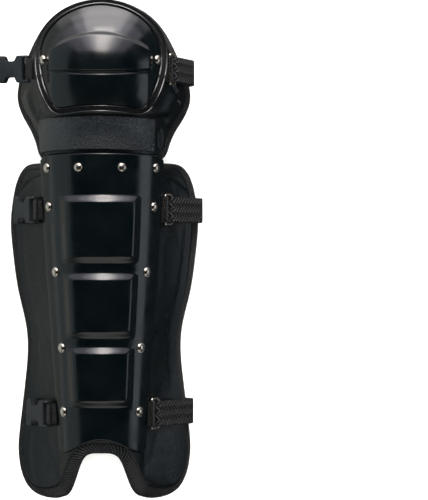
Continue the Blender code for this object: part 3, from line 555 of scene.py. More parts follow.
def makeWeave(name, finish):
    # Woven polyester read off the band's own UV map, in metres: ribs across it, or herringbone columns
    material, tree, shader = startMaterial(
        name, finish["colour"], ("Roughness", finish["roughness"]), ("Specular IOR Level", 0.3),
        ("Sheen Weight", finish["sheen"]))
    uv = addNode(tree, "ShaderNodeUVMap", ("uv_map", "along"))
    along, across = addNode(tree, "ShaderNodeSeparateXYZ", (0, uv)).outputs[:2]
    zigzag = addNode(tree, "ShaderNodeMath", ("operation", "PINGPONG"), (0, across),
                     (1, finish["column"]))
    slant = addNode(tree, "ShaderNodeMath", ("operation", "MULTIPLY_ADD"), (0, zigzag),
                    (1, finish["slant"]), (2, along))
    turns = addNode(tree, "ShaderNodeMath", ("operation", "MULTIPLY"), (0, slant),
                    (1, 2 * math.pi / finish["pitch"]))
    wave = addNode(tree, "ShaderNodeMath", ("operation", "SINE"), (0, turns))
    edge = addNode(tree, "ShaderNodeMath", ("operation", "MULTIPLY"), (0, across),
                   (1, 2 * math.pi / finish["column"]))
    groove = addNode(tree, "ShaderNodeMath", ("operation", "COSINE"), (0, edge))
    height = addNode(tree, "ShaderNodeMath", ("operation", "MULTIPLY_ADD"), (0, groove),
                     (1, finish["groove"]), (2, wave))
    share = addNode(tree, "ShaderNodeMapRange", ("From Min", -0.9), ("From Max", 0.9), ("Value", height))
    # painted shade: the valleys between the threads and along the grooves take the darker colour
    tint = addNode(tree, "ShaderNodeMix", ("data_type", "RGBA"), (0, share),
                   (6, srgb(finish["paintedValleyShade"])), (7, srgb(finish["colour"])))
    spot = addNode(tree, "ShaderNodeTexCoord").outputs["Object"]
    fuzz = addNode(tree, "ShaderNodeTexNoise", ("Scale", 1800.0), ("Detail", 2.0), ("Vector", spot))
    fine = addNode(tree, "ShaderNodeBump", ("Strength", 0.4), ("Distance", 0.0002), ("Height", fuzz))
    bump = addNode(tree, "ShaderNodeBump", ("Strength", 1.0), ("Distance", finish["depth"]),
                   ("Height", height), ("Normal", fine))
    connect(tree, shader, (("Base Color", tint.outputs[2]), ("Normal", bump)))
    return material


# colours of the threads and of the painted shade in the valleys between them; sizes in metres
tapeFinish = {"colour": "#242526", "paintedValleyShade": "#000000", "roughness": 0.55, "sheen": 0.0, "column": 0.05,
              "slant": 0.8, "pitch": 0.0023, "groove": 0.0, "depth": 0.0009}
webbingFinish = {"colour": "#0f1011", "paintedValleyShade": "#020202", "roughness": 0.6, "sheen": 0.04, "column": 0.0016,
                 "slant": 0.6, "pitch": 0.0014, "groove": 0.5, "depth": 0.0003}
elasticFinish = {"colour": "#1f2022", "paintedValleyShade": "#010101", "roughness": 0.6, "sheen": 0.0, "column": 0.0043,
                 "slant": 0.9, "pitch": 0.0038, "groove": 0.2, "depth": 0.0010}


def makePlain(name, colour, roughness, spread, grainSize, grainHeight, *values):
    # Moulded or plated stock: even colour, its roughness wandering a little, a faint skin of its own
    material, tree, shader = startMaterial(name, colour, *values)
    spot = addNode(tree, "ShaderNodeTexCoord").outputs["Object"]
    noise = addNode(tree, "ShaderNodeTexNoise", ("Scale", 1 / grainSize), ("Detail", 4.0), ("Vector", spot))
    rough = addNode(tree, "ShaderNodeMapRange", ("From Min", 0.3), ("From Max", 0.7),
                    ("To Min", roughness - spread), ("To Max", roughness + spread), ("Value", noise))
    bump = addNode(tree, "ShaderNodeBump", ("Strength", 0.5), ("Distance", grainHeight), ("Height", noise))
    connect(tree, shader, (("Roughness", rough), ("Normal", bump)))
    return material


glossAbs = makeGlossAbs()
leatherette = makeLeather("embossedLeatherette", leatherFinish)
# the neck panel's leatherette: its lighter base colour is partly painted sheen
neckLeather = makeLeather("coarseLeatheretteWithPaintedSheen", neckFinishAndPaintedSheen)
lining = makeLining()
tapeWeave = makeWeave("grosgrainBinding", tapeFinish)
webbing = makeWeave("ribbedNylonWebbing", webbingFinish)
elasticWeave = makeWeave("herringboneElastic", elasticFinish)
# calendered vinyl welt: smooth, with a satin glint on its ridges
weltVinyl = makePlain("satinVinylWelt", "#0a0c0d", 0.2, 0.06, 0.004, 0.00012, ("IOR", 1.5),
                      ("Specular IOR Level", 0.8), ("Coat Weight", 0.5), ("Coat Roughness", 0.2))
# bonded polyester thread: fine, slightly waxed
thread = makePlain("bondedPolyesterThread", "#101112", 0.5, 0.1, 0.0006, 0.0001)
# bright nickel plate on a steel cap: warm grey mirror with faint polishing haze
nickel = makePlain("brightNickelPlate", "#d8cfc2", 0.26, 0.05, 0.002, 0.00002, ("Metallic", 1.0))
# injection-moulded acetal: black with a slate cast, waxy satin with a fine spark texture
acetal = makePlain("mouldedAcetal", "#14181a", 0.42, 0.06, 0.0008, 0.00003, ("IOR", 1.48))
print("materials ready")


# Shin plate: one gloss moulding with three raised bosses

bossSpans = [[plate["start"] + share * plate["length"] for share in span] for span in plate["bosses"]]


def bossRise(share, y):
    bevel, fillet = plate["bossBevel"], plate["bossFillet"]
    across = (plate["bossShare"] - abs(share)) * plateHalf(y)
    for start, end in bossSpans:
        inside = smoothMin(across, smoothMin(y - start, end - y, 0.0002), 0.0016)
        if inside > -0.004:
            ramp = smoothMin(smoothMax(inside, 0.0, fillet), bevel, fillet)
            return plate["bossHeight"] * ramp / bevel * smoothStep(-0.004, -0.001, inside)
    return 0.0


def cornerCut(s, half):  # how far a rounded corner draws the plate's end in
    past = max(abs(s) * half - (half - plate["corner"]), 0.0)
    return plate["corner"] - math.sqrt(max(plate["corner"] ** 2 - past**2, 0.0))


def plateRows():  # close rows over each boss's bevels, wide ones between
    spans, at = [], plate["start"] + 1.2 * plate["arch"]
    near, close, wide = 0.002, 0.0007, 0.003
    for start, end in bossSpans:
        first, last = start + plate["bossBevel"] + near, end - plate["bossBevel"] - near
        spans += [(at, start - near, wide), (start - near, first, close), (first, last, wide),
                  (last, end + near, close)]
        at = end + near
    return stations(spans + [(at, plateTop - plate["corner"], wide)])


def plateSpot(kind, value, s, rows):  # place up the guard, and distance from the plate's end
    if kind == "row":
        return value, 1.0
    if kind == "low":
        edge = plate["start"] - plate["dip"] + plate["arch"] * (1 - s * s) ** 2
        edge += cornerCut(s, plateHalf(plate["start"] + plate["corner"]))
        return edge + (rows[0] - edge) * value, (rows[0] - edge) * value
    edge = plateTop + plate["crown"] * (1 - s * s) - cornerCut(s, plate["halfWidth"])
    return edge + (rows[-1] - edge) * value, (edge - rows[-1]) * value


def makeShinPlate():
    bossShare = plate["bossShare"]
    # columns, as shares of the half-width: close ones over the bosses' sides and at the edge
    half = stations([(0.0, bossShare - 0.19, 0.04), (bossShare - 0.19, bossShare + 0.04, 0.012),
                     (bossShare + 0.04, 0.965, 0.03), (0.965, 1.0, 0.007)])
    columns = [-s for s in reversed(half[1:])] + half
    rows = plateRows()
    bands = [("low", step) for step in plate["endSteps"]] + [("row", y) for y in rows]
    bands += [("top", step) for step in reversed(plate["endSteps"])]
    roundness = plate["edgeRound"]
    grid = []
    for kind, value in bands:
        row = []
        for s in columns:
            y, toEnd = plateSpot(kind, value, s, rows)
            x = s * plateHalf(y)
            away = min((1 - abs(s)) * plateHalf(y), toEnd)
            drop = roundness - math.sqrt(max(roundness**2 - max(roundness - away, 0.0) ** 2, 0.0))
            lift = seatGap + plate["wall"] - drop + bossRise(s, y)
            row.append((x, y, lift, seatGap, 0.0))
        grid.append(row)
    finishMesh(wallOver(shinHeight, grid), "shinPlate", (glossAbs, glossAbs), "shell", "shin_plate")


# Knee cap: a gloss dome with a raised visor that has a crease across it

visor = {  # "top", "topSag" and "crease" are shares of the cap's reach up or down
    "halfWidth": 0.0460, "height": 0.004, "bevel": 0.006, "upperBevel": 0.0069, "top": 0.37, "topSag": 0.28,
    "crease": 0.28, "creaseSag": 0.0028, "creaseDepth": 0.0011, "creaseWidth": 0.0010,
    "creaseBevel": 0.0027, "underCrease": 0.42,
}


def visorRise(x, y):
    share = min(abs(x) / visor["halfWidth"], 1.0)
    top = capMiddle + (visor["top"] - visor["topSag"] * share**2) * cap["topReach"]
    crease = capMiddle - visor["crease"] * cap["lowReach"] - visor["creaseSag"] * (1 - share**2)
    sides = smoothStep(0.0, visor["bevel"], visor["halfWidth"] - abs(x))
    upper = smoothStep(0.0, visor["upperBevel"], top - y)
    low = visor["underCrease"]
    lower = low + (1 - low) * smoothStep(0.0, visor["creaseBevel"], y - crease)
    groove = visor["creaseDepth"] * math.exp(-((y - crease) / visor["creaseWidth"]) ** 2)
    return (visor["height"] * upper * lower - groove) * sides


def makeKneeCap():
    grid = [[(p.x, p.y, seatGap + cap["wall"] + visorRise(p.x, p.y), seatGap, 1.0) for p in row]
            for row in patch(capEdges((60, 220)), cap["weltWidth"] + seatGap)]
    finishMesh(wallOver(kneeHeight, grid), "kneeCap", (glossAbs, glossAbs), "shell", "knee_cap")


makeShinPlate()
makeKneeCap()
print("shells moulded")


# Padded shields: foam in leatherette, swelled by a cloth simulation and held where something sits on them

swelling = {
    "pressure": 4.0, "frames": 16, "most": 0.0007, "slack": 0.002, "quality": 6, "mass": 0.2,
    "margin": 0.004,
}
padEdge = {"round": 0.0036, "proud": 0.0009, "taper": 0.018, "tuck": 0.0016}
padSeam = {
    "depth": 0.0011, "width": 0.0016, "reach": 0.006, "lift": 0.0002,
    "corner": ((0.0590, 0.3020), (0.070, 0.2975), (0.0790, 0.2890)),
    "stitches": {"Pitch": 0.0036, "Stitch Length": 0.0026, "Thread Radius": 0.00035, "Slant": 0.0},
}
binding = {
    "proud": 0.0004, "roundness": 0.72, "points": 16, "width": 0.0068, "crotchExtra": 0.0050,
    "lobeLess": 0.0018, "footEnds": (0.03, 0.075), "crotchEnds": (0.038, 0.080),
}
kneeCreases = (  # x, y of both ends, height (dents are negative), half-width
    (0.0680, 0.3800, 0.0585, 0.3610, 0.0030, 0.0040), (0.0650, 0.3850, 0.0690, 0.3710, -0.0026, 0.0014),
    (0.0570, 0.3555, 0.0440, 0.3525, -0.0020, 0.0014), (0.0550, 0.3590, 0.0450, 0.3568, 0.0014, 0.0018),
    (0.0520, 0.3420, 0.0525, 0.3270, -0.0022, 0.0016), (0.0560, 0.3430, 0.0572, 0.3290, 0.0014, 0.0022),
    (0.0716, 0.3700, 0.0600, 0.3500, 0.0018, 0.0022),
    (-0.0690, 0.3760, -0.0610, 0.3560, 0.0018, 0.0036), (-0.0560, 0.3600, -0.0450, 0.3540, -0.0018, 0.0014),
    (-0.0640, 0.3700, -0.0550, 0.3480, -0.0014, 0.0016), (-0.0590, 0.3560, -0.0545, 0.3380, 0.0014, 0.0020),
)
straps = (
    # name, place up the guard, reach of the curl beyond the middle, radius of the curl
    ("top", capLow + 0.80 * cap["lowReach"], 0.0855, 0.0170),
    ("middle", plate["start"] + 0.818 * plate["length"], 0.0933, 0.0070),
    ("bottom", plate["start"] + 0.1255 * plate["length"], 0.0845, 0.0070),
)


def swell(obj, isHeld):  # a point moves "most" at most, and "slack" is the share of spare cloth
    held = obj.vertex_groups.new(name="held")
    for v in obj.data.vertices:
        held.add([v.index], float(isHeld(v.co)), "REPLACE")
    rest = [v.co.copy() for v in obj.data.vertices]
    cloth = obj.modifiers.new("cloth", "CLOTH")
    cloth.settings.quality = swelling["quality"]
    cloth.settings.mass = swelling["mass"]
    cloth.settings.use_pressure = True
    cloth.settings.uniform_pressure_force = swelling["pressure"]
    cloth.settings.effector_weights.gravity = 0.0
    cloth.settings.shrink_min = -swelling["slack"]
    cloth.settings.vertex_group_mass = "held"
    scene = bpy.context.scene
    for number in range(1, swelling["frames"] + 1):
        scene.frame_set(number)
    depsgraph = bpy.context.evaluated_depsgraph_get()
    swelled = obj.evaluated_get(depsgraph).to_mesh()
    moves = [v.co - start for v, start in zip(swelled.vertices, rest)]
    obj.modifiers.remove(cloth)
    scene.frame_set(1)
    for v, start, move in zip(obj.data.vertices, rest, moves):
        v.co = start + move * min(1.0, swelling["most"] / max(move.length, 1e-9))


def bindingWidth(p):  # broad in the crotch between the lobes, narrow round their outsides
    foot = 1 - smoothStep(*binding["footEnds"], p.y)
    inner = 1 - smoothStep(*binding["crotchEnds"], abs(p.x))
    return binding["width"] + foot * (binding["crotchExtra"] * inner - binding["lobeLess"] * (1 - inner))


def creaseLift(creases, x, y):  # ridges and dents along short lines
    lift = 0.0
    for x0, y0, x1, y1, depth, width in creases:
        across = Vector((x1 - x0, y1 - y0))
        share = max(0.0, min(1.0, ((x - x0) * across.x + (y - y0) * across.y) / across.length_squared))
        away = math.hypot(x - x0 - across.x * share, y - y0 - across.y * share)
        lift += depth * math.exp(-(away / width) ** 2)
    return lift


def padObject(name, edges, height, ends, isHeld, creases=()):
    plan = crowdedPatch(edges, lambda p: bindingWidth(p) - padEdge["tuck"])
    thin, thick = shinPad["rimThickness"], shinPad["thickness"]
    grid = []
    for line in plan:
        row = []
        for i, p in enumerate(line):
            away = min((p - q).length for q in (line[0], line[-1], plan[0][i], plan[-1][i]))
            turn = max(0.0, 1 - away / padEdge["round"])
            drop = 0.9 * padEdge["round"] * (1 - math.sqrt(1 - turn * turn))
            lift = padEdge["proud"] - drop + creaseLift(creases, p.x, p.y)
            depth = thin + (thick - thin) * min(away / padEdge["taper"], 1.0)
            row.append((p.x, p.y, lift, -depth, ends(p.y)))
        grid.append(row)
    obj = looseObject(wallOver(height, grid), name)
    swell(obj, isHeld)
    obj.modifiers.new("smooth", "SUBSURF").levels = 1
    bakeModifiers(obj)
    return obj


def sewSeams(obj, seams):  # pulls the face in along its seams, and returns them as they lie on it
    mesh = obj.data
    points = [Vector((p.x, p.y, 0)) for seam in seams for p in seam]
    tree = KDTree(len(points))
    for i, p in enumerate(points):
        tree.insert(p, i)
    tree.balance()
    normals = [v.normal.copy() for v in mesh.vertices]
    for v, normal in zip(mesh.vertices, normals):
        distance = tree.find(Vector((v.co.x, v.co.y, 0)))[2]
        if distance < padSeam["reach"] and normal.z > -0.1:
            v.co -= normal * padSeam["depth"] * math.exp(-(distance / padSeam["width"]) ** 2)
    surface = BVHTree.FromPolygons([v.co for v in mesh.vertices], [tuple(f.vertices) for f in mesh.polygons])
    paths = []
    for seam in seams:
        hits = [surface.ray_cast(Vector((p.x, p.y, 0.2)), Vector((0, 0, -1)))[0] for p in seam]
        paths.append([hit + Vector((0, 0, padSeam["lift"])) for hit in hits if hit])
    return paths


def finishPad(obj, height, node, face=leatherette):  # leatherette outside, mesh lining inside
    mesh = obj.data
    for material in (face, lining):
        mesh.materials.append(material)
    for polygon in mesh.polygons:
        outward = normalAt(height, polygon.center.x, polygon.center.y)
        polygon.material_index = 1 if polygon.normal.dot(outward) < -0.2 else 0
    mesh.shade_smooth()
    mesh.transform(Matrix.Translation(place))
    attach(obj, "root")
    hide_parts(node)


def isBacked(height, co):  # under a strap, or on the side towards the leg
    margin = swelling["margin"]
    besideStrap = any(abs(co.y - row[1]) < strap["width"] / 2 + margin for row in straps)
    return besideStrap or normalAt(height, co.x, co.y).z * (co.z - height(co.x, co.y)) < -margin


def makeShinPad():
    def isHeld(co):
        underPlate = abs(co.x) < plateHalf(co.y) + 0.003 and co.y > plate["start"] - 0.002
        atSide = abs(co.x) > shinSideHalf(max(co.y, 0.046)) - 0.013
        atEnd = co.y > shinPad["length"] - 0.012 or co.y < 0.010
        inCrotch = co.y < 0.05 and abs(co.x) < 0.034
        return isBacked(shinHeight, co) or underPlate or atSide or atEnd or inCrotch

    obj = padObject("shinPad", shinPadEdges((42, 76)), shinHeight, squareEnds, isHeld)
    seams = [curveThrough([(side * x, y) for x, y in padSeam["corner"]], 40) for side in (-1, 1)]
    paths = sewSeams(obj, seams)
    finishPad(obj, shinHeight, "shin_pad")
    return paths


def makeKneePad():
    def isHeld(co):
        underCap = co.y > capLow - 0.004 and abs(co.x) < cap["halfWidth"] + 0.002
        underNeck = co.y < neckTop + 0.003 and abs(co.x) < neck["halfWidth"] + 0.001
        return isBacked(kneeHeight, co) or underCap or underNeck or co.y < kneeLow + 0.010

    obj = padObject("kneePad", kneePadEdges((42, 64)), kneeHeight, kneeEnds, isHeld, kneeCreases)
    finishPad(obj, kneeHeight, "knee_pad")


def neckFold(s, t):  # short soft folds fan out from both upper corners
    across, up = neck["foldFrom"]
    turn = math.atan2(up - t, across - abs(s)) * neck["folds"]
    away = math.hypot((1.0 - abs(s)) * neck["foldStretch"], 1.0 - t)
    fade = math.exp(-(away / neck["foldReach"]) ** 2) * smoothStep(0.0, 0.15, away)
    return neck["fold"] * math.sin(turn) * fade


def makeNeckPanel():
    grid = []
    for j in range(neck["rows"]):
        t = j / (neck["rows"] - 1)
        row = []
        for i in range(neck["columns"]):
            s = 2 * i / (neck["columns"] - 1) - 1
            x = neck["middle"] + s * (neck["reach"] + neck["topFlare"] * t)
            y = neckLow + t * neck["height"] + neck["arch"] * (1 - s * s)
            crown = (1 - abs(s) ** 6) * (1 - (2 * t - 1) ** 2)
            lift = neck["edge"] + (neck["thickness"] - neck["edge"]) * crown + neckFold(s, t)
            row.append((x, y, seatGap + lift, seatGap, 0.0))
        grid.append(row)
    finishPad(looseObject(wallOver(kneeHeight, grid), "neckPanel"), kneeHeight, "neck_panel", neckLeather)


# Woven edge binding round both pads

def makeBinding(name, edges, height, ends, node):
    loop = closedOutline(*edges)
    thickness = shinPad["rimThickness"] + binding["proud"]
    power = binding["roundness"]
    sections = []
    for a, b in zip(loop, inset(loop, bindingWidth)):
        section = []
        for k in range(binding["points"]):
            turn = 2 * math.pi * k / binding["points"]
            c, s = math.cos(turn), math.sin(turn)
            up = binding["proud"] - thickness * (0.5 - 0.5 * math.copysign(abs(s) ** power, s))
            p = b.lerp(a, 0.5 + 0.5 * math.copysign(abs(c) ** power, c))
            section.append(onSurface(height, p.x, p.y, up, ends(p.y)))
        sections.append(section)
    finishMesh(railMesh(sections), name, (tapeWeave,), "tape", node, 60)


# Welt round the cap: two vinyl ridges, with stitches in the channel between them

welt = {  # ridge and foot are shares of the welt's width and height
    "ridge": 0.24, "channel": 0.0028, "foot": 0.55, "fullness": 0.47, "roundness": 0.8,
    "stitches": {"Pitch": 0.0031, "Stitch Length": 0.0026, "Thread Radius": 0.0006, "Slant": 0.5},
}


def makeWelt():
    loop = closedOutline(*capEdges((60, 100)))
    inside = inset(loop, cap["weltWidth"])
    ridge, channel, height = welt["ridge"], welt["channel"], cap["weltHeight"]
    foot = height * welt["foot"]
    profile = [(0.0, 0.0), (0.0, foot)]
    for centre in (ridge * 0.5, 1 - ridge * 0.5):
        for k in range(7):
            turn = math.pi * (1 - k / 6)
            profile.append((centre + welt["fullness"] * ridge * math.cos(turn),
                            height - channel + channel * math.sin(turn) ** welt["roundness"]))
    profile += [(1.0, foot), (1.0, 0.0)]
    sections, middle = [], []
    for a, b in zip(loop, inside):
        spots = [(a.lerp(b, across), seatGap + up) for across, up in profile]
        sections.append([onSurface(kneeHeight, p.x, p.y, up) for p, up in spots])
        p = a.lerp(b, 0.5)
        middle.append(onSurface(kneeHeight, p.x, p.y, seatGap + height - channel + 0.0001))
    obj = finishMesh(railMesh(sections), "capWelt", (weltVinyl, tapeWeave), "tape", "cap_welt", 50)
    for polygon in obj.data.polygons:  # the channel's three faces are tape
        polygon.material_index = 1 if polygon.index % len(profile) in (7, 8, 9) else 0
    return middle + middle[:1]


# Stitches and rivets: one geometry tree each

def startTree(name, sizes):  # a tree with a named input for each size, and the inputs' identifiers
    tree = bpy.data.node_groups.new(name, "GeometryNodeTree")
    tree.interface.new_socket(name="Geometry", in_out="INPUT", socket_type="NodeSocketGeometry")
    keys = {}
    for label, value in sizes.items():
        socket = tree.interface.new_socket(name=label, in_out="INPUT", socket_type="NodeSocketFloat")
        socket.default_value = value
        keys[label] = socket.identifier
    tree.interface.new_socket(name="Geometry", in_out="OUTPUT", socket_type="NodeSocketGeometry")
    return tree, keys, tree.nodes.new("NodeGroupInput").outputs


def endTree(tree, placed, material):
    real = addNode(tree, "GeometryNodeRealizeInstances", (0, placed))
    smooth = addNode(tree, "GeometryNodeSetShadeSmooth", (0, real))
    painted = addNode(tree, "GeometryNodeSetMaterial", (0, smooth), ("Material", material))
    addNode(tree, "NodeGroupOutput", (0, painted))


def runTree(obj, tree, keys, sizes):  # the result becomes the object's plain mesh
    modifier = obj.modifiers.new(tree.name, "NODES")
    modifier.node_group = tree
    for label, value in sizes.items():
        modifier[keys[label]] = value
    bakeModifiers(obj)


def makeStitchTree():  # thread laid along every sewn line
    tree, keys, inputs = startTree("stitchRow", padSeam["stitches"])
    curve = addNode(tree, "GeometryNodeMeshToCurve", (0, inputs["Geometry"]))
    points = addNode(tree, "GeometryNodeCurveToPoints", ("mode", "LENGTH"), ("Curve", curve),
                     ("Length", inputs["Pitch"]))
    turn = addNode(tree, "FunctionNodeAlignRotationToVector", ("axis", "Z"),
                   ("Vector", points.outputs["Tangent"]))
    slant = addNode(tree, "ShaderNodeCombineXYZ", (0, inputs["Slant"]))
    tilt = addNode(tree, "FunctionNodeEulerToRotation", (0, slant))
    both = addNode(tree, "FunctionNodeRotateRotation", ("rotation_space", "LOCAL"), (0, turn), (1, tilt))
    stitch = addNode(tree, "GeometryNodeMeshCylinder", ("Vertices", 6), ("Side Segments", 2),
                     ("Radius", inputs["Thread Radius"]), ("Depth", inputs["Stitch Length"]))
    placed = addNode(tree, "GeometryNodeInstanceOnPoints", ("Points", points), ("Instance", stitch),
                     ("Rotation", both))
    endTree(tree, placed, thread)
    return tree, keys


def lineMesh(paths):  # loose edges along each path
    bm = bmesh.new()
    for path in paths:
        points = [bm.verts.new(p + place) for p in path]
        for a, b in zip(points, points[1:]):
            bm.edges.new((a, b))
    return bm


def layStitches(name, paths, sizes):
    obj = looseObject(lineMesh(paths), name)
    runTree(obj, stitchTree, stitchKeys, sizes)
    handOver(obj, "tape")


rivet = {"Head Radius": 0.0044, "Dome Height": 0.0024, "Flange Thickness": 0.00045}
plateRivets = (
    # across, as a share of the half-width there; up, as a share of the plate length
    (0.805, 0.137), (0.765, 0.353), (0.80, 0.608), (0.865, 0.827), (0.870, 0.958), (0.345, 0.957),
)


capRivet = {"down": 0.08, "inset": 0.6}  # shares of the cap's low reach and of a head's radius


def rivetPoints():  # surface, x, y, lengthwise and the wall under each head
    points = []
    for across, up in plateRivets:
        y = plate["start"] + up * plate["length"]
        for side in (-1, 1):
            points.append((shinHeight, side * across * plateHalf(y), y, 0.0, plate["wall"]))
    y = capMiddle - capRivet["down"] * cap["lowReach"]
    for side in (-1, 1):
        x = side * (cap["halfWidth"] - cap["weltWidth"] - capRivet["inset"] * rivet["Head Radius"])
        points.append((kneeHeight, x, y, 1.0, cap["wall"]))
    return points


def makeRivetTree():  # a domed head set on every marked point
    tree, keys, inputs = startTree("domedRivets", rivet)
    up = addNode(tree, "GeometryNodeInputNamedAttribute", ("data_type", "FLOAT_VECTOR"), ("Name", "up"))
    turn = addNode(tree, "FunctionNodeAlignRotationToVector", ("axis", "Z"), ("Vector", up))
    ball = addNode(tree, "GeometryNodeMeshUVSphere", ("Segments", 40), ("Rings", 24),
                   ("Radius", inputs["Head Radius"]))
    ratio = addNode(tree, "ShaderNodeMath", ("operation", "DIVIDE"), (0, inputs["Dome Height"]),
                    (1, inputs["Head Radius"]))
    squash = addNode(tree, "ShaderNodeCombineXYZ", (0, 0.93), (1, 0.93), (2, ratio))
    dome = addNode(tree, "GeometryNodeTransform", ("Geometry", ball), ("Scale", squash))
    flange = addNode(tree, "GeometryNodeMeshCylinder", ("Vertices", 40),
                     ("Radius", inputs["Head Radius"]), ("Depth", inputs["Flange Thickness"]))
    head = addNode(tree, "GeometryNodeJoinGeometry", (0, dome), (0, flange))
    placed = addNode(tree, "GeometryNodeInstanceOnPoints", ("Points", inputs["Geometry"]),
                     ("Instance", head), ("Rotation", turn))
    endTree(tree, placed, nickel)
    return tree, keys


def makeRivets():
    bm = bmesh.new()
    ups = []
    for height, x, y, lengthwise, wall in rivetPoints():
        lift = seatGap + wall + 0.5 * rivet["Flange Thickness"]
        bm.verts.new(onSurface(height, x, y, lift, lengthwise) + place)
        ups.append(normalAt(height, x, y, lengthwise))
    obj = looseObject(bm, "rivets")
    attribute = obj.data.attributes.new("up", "FLOAT_VECTOR", "POINT")
    for item, up in zip(attribute.data, ups):
        item.vector = up
    tree, keys = makeRivetTree()
    runTree(obj, tree, keys, rivet)
    shade(obj, 50)
    handOver(obj, "metal", *["rivet_%d" % number for number in range(1, 15)])


# Straps, loops and buckles

strap = {
    "width": 0.024, "thickness": 0.002, "end": -0.036, "tabThickness": 0.0016, "tabWidth": 0.0195,
    "buckleTabReach": 0.0045, "loopTabReach": 0.0015, "tabClearance": 0.0009, "wrapLength": 0.007,
    "loopLength": 0.0088, "loopCorner": 0.0014, "wire": 0.0011,
}
buckle = {
    "width": 0.025, "length": 0.030, "height": 0.0088, "wall": 0.0018, "mouth": 0.019, "waist": 0.0145,
    "windowStart": 0.0090, "windowLength": 0.008, "windowFlare": 0.0075, "windowCorner": 0.0012,
    "corner": 0.0014, "slot": 0.0042, "bar": 0.0018, "topTilt": math.radians(16), "topSeat": 0.7,
    "lean": 0.72, "tabOverlap": 0.8, "softEdge": 0.0004, "past": 0.01,
}
male = {  # body, root, rise and prongs are shares of its length, its height and the prongs' reach
    "length": 0.036, "height": 0.006, "body": 0.40, "root": 0.38, "rise": (0.22, 0.78),
    "prongs": ((-1.0, -0.55), (0.55, 1.0), (-0.12, 0.12)),
}


def sectionSeat(name, y):  # half-width of the shell beside a strap, and places on the pad past it
    spots = (y - strap["width"] / 2, y, y + strap["width"] / 2)
    height, shellHalf = (kneeHeight, capHalf) if name == "top" else (shinHeight, plateHalf)
    half = max(shellHalf(spot) for spot in spots)

    def seat(away, lift):
        step = 0.0005
        low, here, high = [max(height(x, spot) for spot in spots) for x in (away - step, away, away + step)]
        return Vector((away, here)) + Vector((low - high, 2 * step)).normalized() * lift

    return half, seat


def arc(centre, radius, start, end, count):  # points from one angle to another
    turns = [start + (end - start) * i / count for i in range(count + 1)]
    return [centre + Vector((math.cos(a), math.sin(a))) * radius for a in turns]


def squareUp(along):
    return Vector((-along.y, along.x))


def tabPath(start, bar, along, wrap, back):  # out to a bar, round it and back
    angle = math.atan2(along.y, along.x)
    turn = arc(bar, wrap, angle - math.pi / 2, angle + math.pi / 2, 16)
    return [start] + turn + [bar + squareUp(along) * wrap - along * back]


def makeBand(name, path, middle, width, thickness, side, material, slotName, node):
    # a woven band whose middle line follows a path in x and z; side -1 turns it to the other side
    edge = 0.42 * thickness
    count = max(24, round(sum((b - a).length for a, b in zip(path, path[1:])) / 0.0016))
    path = evenly(path, count)
    corner = ((width / 2 - edge, -1.0), (width / 2 - 0.3 * edge, -0.7))
    under = [(-wide, up) for wide, up in reversed(corner)] + [(-width / 4, -1.0), (width / 4, -1.0)]
    under += corner
    profile = under + [(-wide, -up) for wide, up in under]
    sections = []
    for i, point in enumerate(path):
        along = (path[min(i + 1, count - 1)] - path[max(i - 1, 0)]).normalized()
        spots = [(wide, point + squareUp(along) * (up * thickness / 2)) for wide, up in profile]
        sections.append([Vector((side * spot.x, middle + wide, spot.y)) for wide, spot in spots])
    finishMesh(railMesh(sections, closed=False), name, (material,), slotName, node, 70)


def makeLoop(name, innerBar, outerBar, y):  # a rounded rectangle of wire between two bars
    along = (outerBar - innerBar).normalized()
    middle = (innerBar + outerBar) / 2
    halfLength = (outerBar - innerBar).length / 2
    corner = strap["loopCorner"]
    halfWidth = strap["width"] / 2 + gap + corner
    sections = []
    for turn, (sx, sy) in enumerate(((1, 1), (-1, 1), (-1, -1), (1, -1))):
        centre = Vector((sx * (halfLength - corner), sy * (halfWidth - corner)))
        for k in range(9):
            angle = math.pi / 2 * (turn + k / 8)
            out = Vector((math.cos(angle), math.sin(angle)))
            ring = []
            for m in range(14):
                phase = 2 * math.pi * m / 14
                flat = centre + out * (corner + strap["wire"] * math.cos(phase))
                spot = middle + along * flat.x + squareUp(along) * strap["wire"] * math.sin(phase)
                ring.append(Vector((spot.x, y + flat.y, spot.y)))
            sections.append(ring)
    finishMesh(railMesh(sections), "wireLoop_" + name, (nickel,), "metal", "wire_loop_" + name, 60)


def makeElastic(name, y, bar, along, wrap, reach, curl):  # round a bar, round the pad's side and across
    half = strap["thickness"] / 2
    centre = Vector((reach - curl - half, curl + half))
    away = bar + squareUp(along) * wrap - centre
    touch = math.atan2(away.y, away.x) - math.acos(min(curl / away.length, 1.0))
    angle = math.atan2(along.y, along.x) - math.pi / 2
    path = [bar - squareUp(along) * wrap + along * strap["wrapLength"]]
    path += arc(bar, wrap, angle, angle - math.pi, 16)
    path += arc(centre, curl, touch, -math.pi / 2, 30)
    path += [Vector((strap["end"] + gap, half))]
    makeBand("elasticStrap_" + name, path, y, strap["width"], strap["thickness"], 1, elasticWeave,
             "elastic", "elastic_strap_" + name)


def boxMesh(low, high):
    bm = bmesh.new()
    size = Vector(high) - Vector(low)
    matrix = Matrix.Translation((Vector(low) + Vector(high)) / 2) @ Matrix.Diagonal((*size, 1.0))
    bmesh.ops.create_cube(bm, size=1.0, matrix=matrix)
    return bm


def carve(obj, cutters, operation="DIFFERENCE"):
    for cutter in cutters:
        modifier = obj.modifiers.new("carve", "BOOLEAN")
        modifier.operation = operation
        modifier.solver = "EXACT"
        modifier.object = cutter
    bakeModifiers(obj)
    for cutter in cutters:
        bpy.data.objects.remove(cutter, do_unlink=True)


def softenEdges(obj, width):
    modifier = obj.modifiers.new("softEdges", "BEVEL")
    modifier.width = width
    modifier.segments = 2
    modifier.limit_method = "ANGLE"
    modifier.angle_limit = math.radians(38)
    modifier.use_clamp_overlap = True
    bakeModifiers(obj)


def settle(obj, matrix, node):  # moves a buckle half to its place and hands it over
    obj.data.transform(Matrix.Translation(place) @ matrix)
    obj.data.materials.clear()
    obj.data.materials.append(acetal)
    shade(obj, 35)
    handOver(obj, "buckle", node)


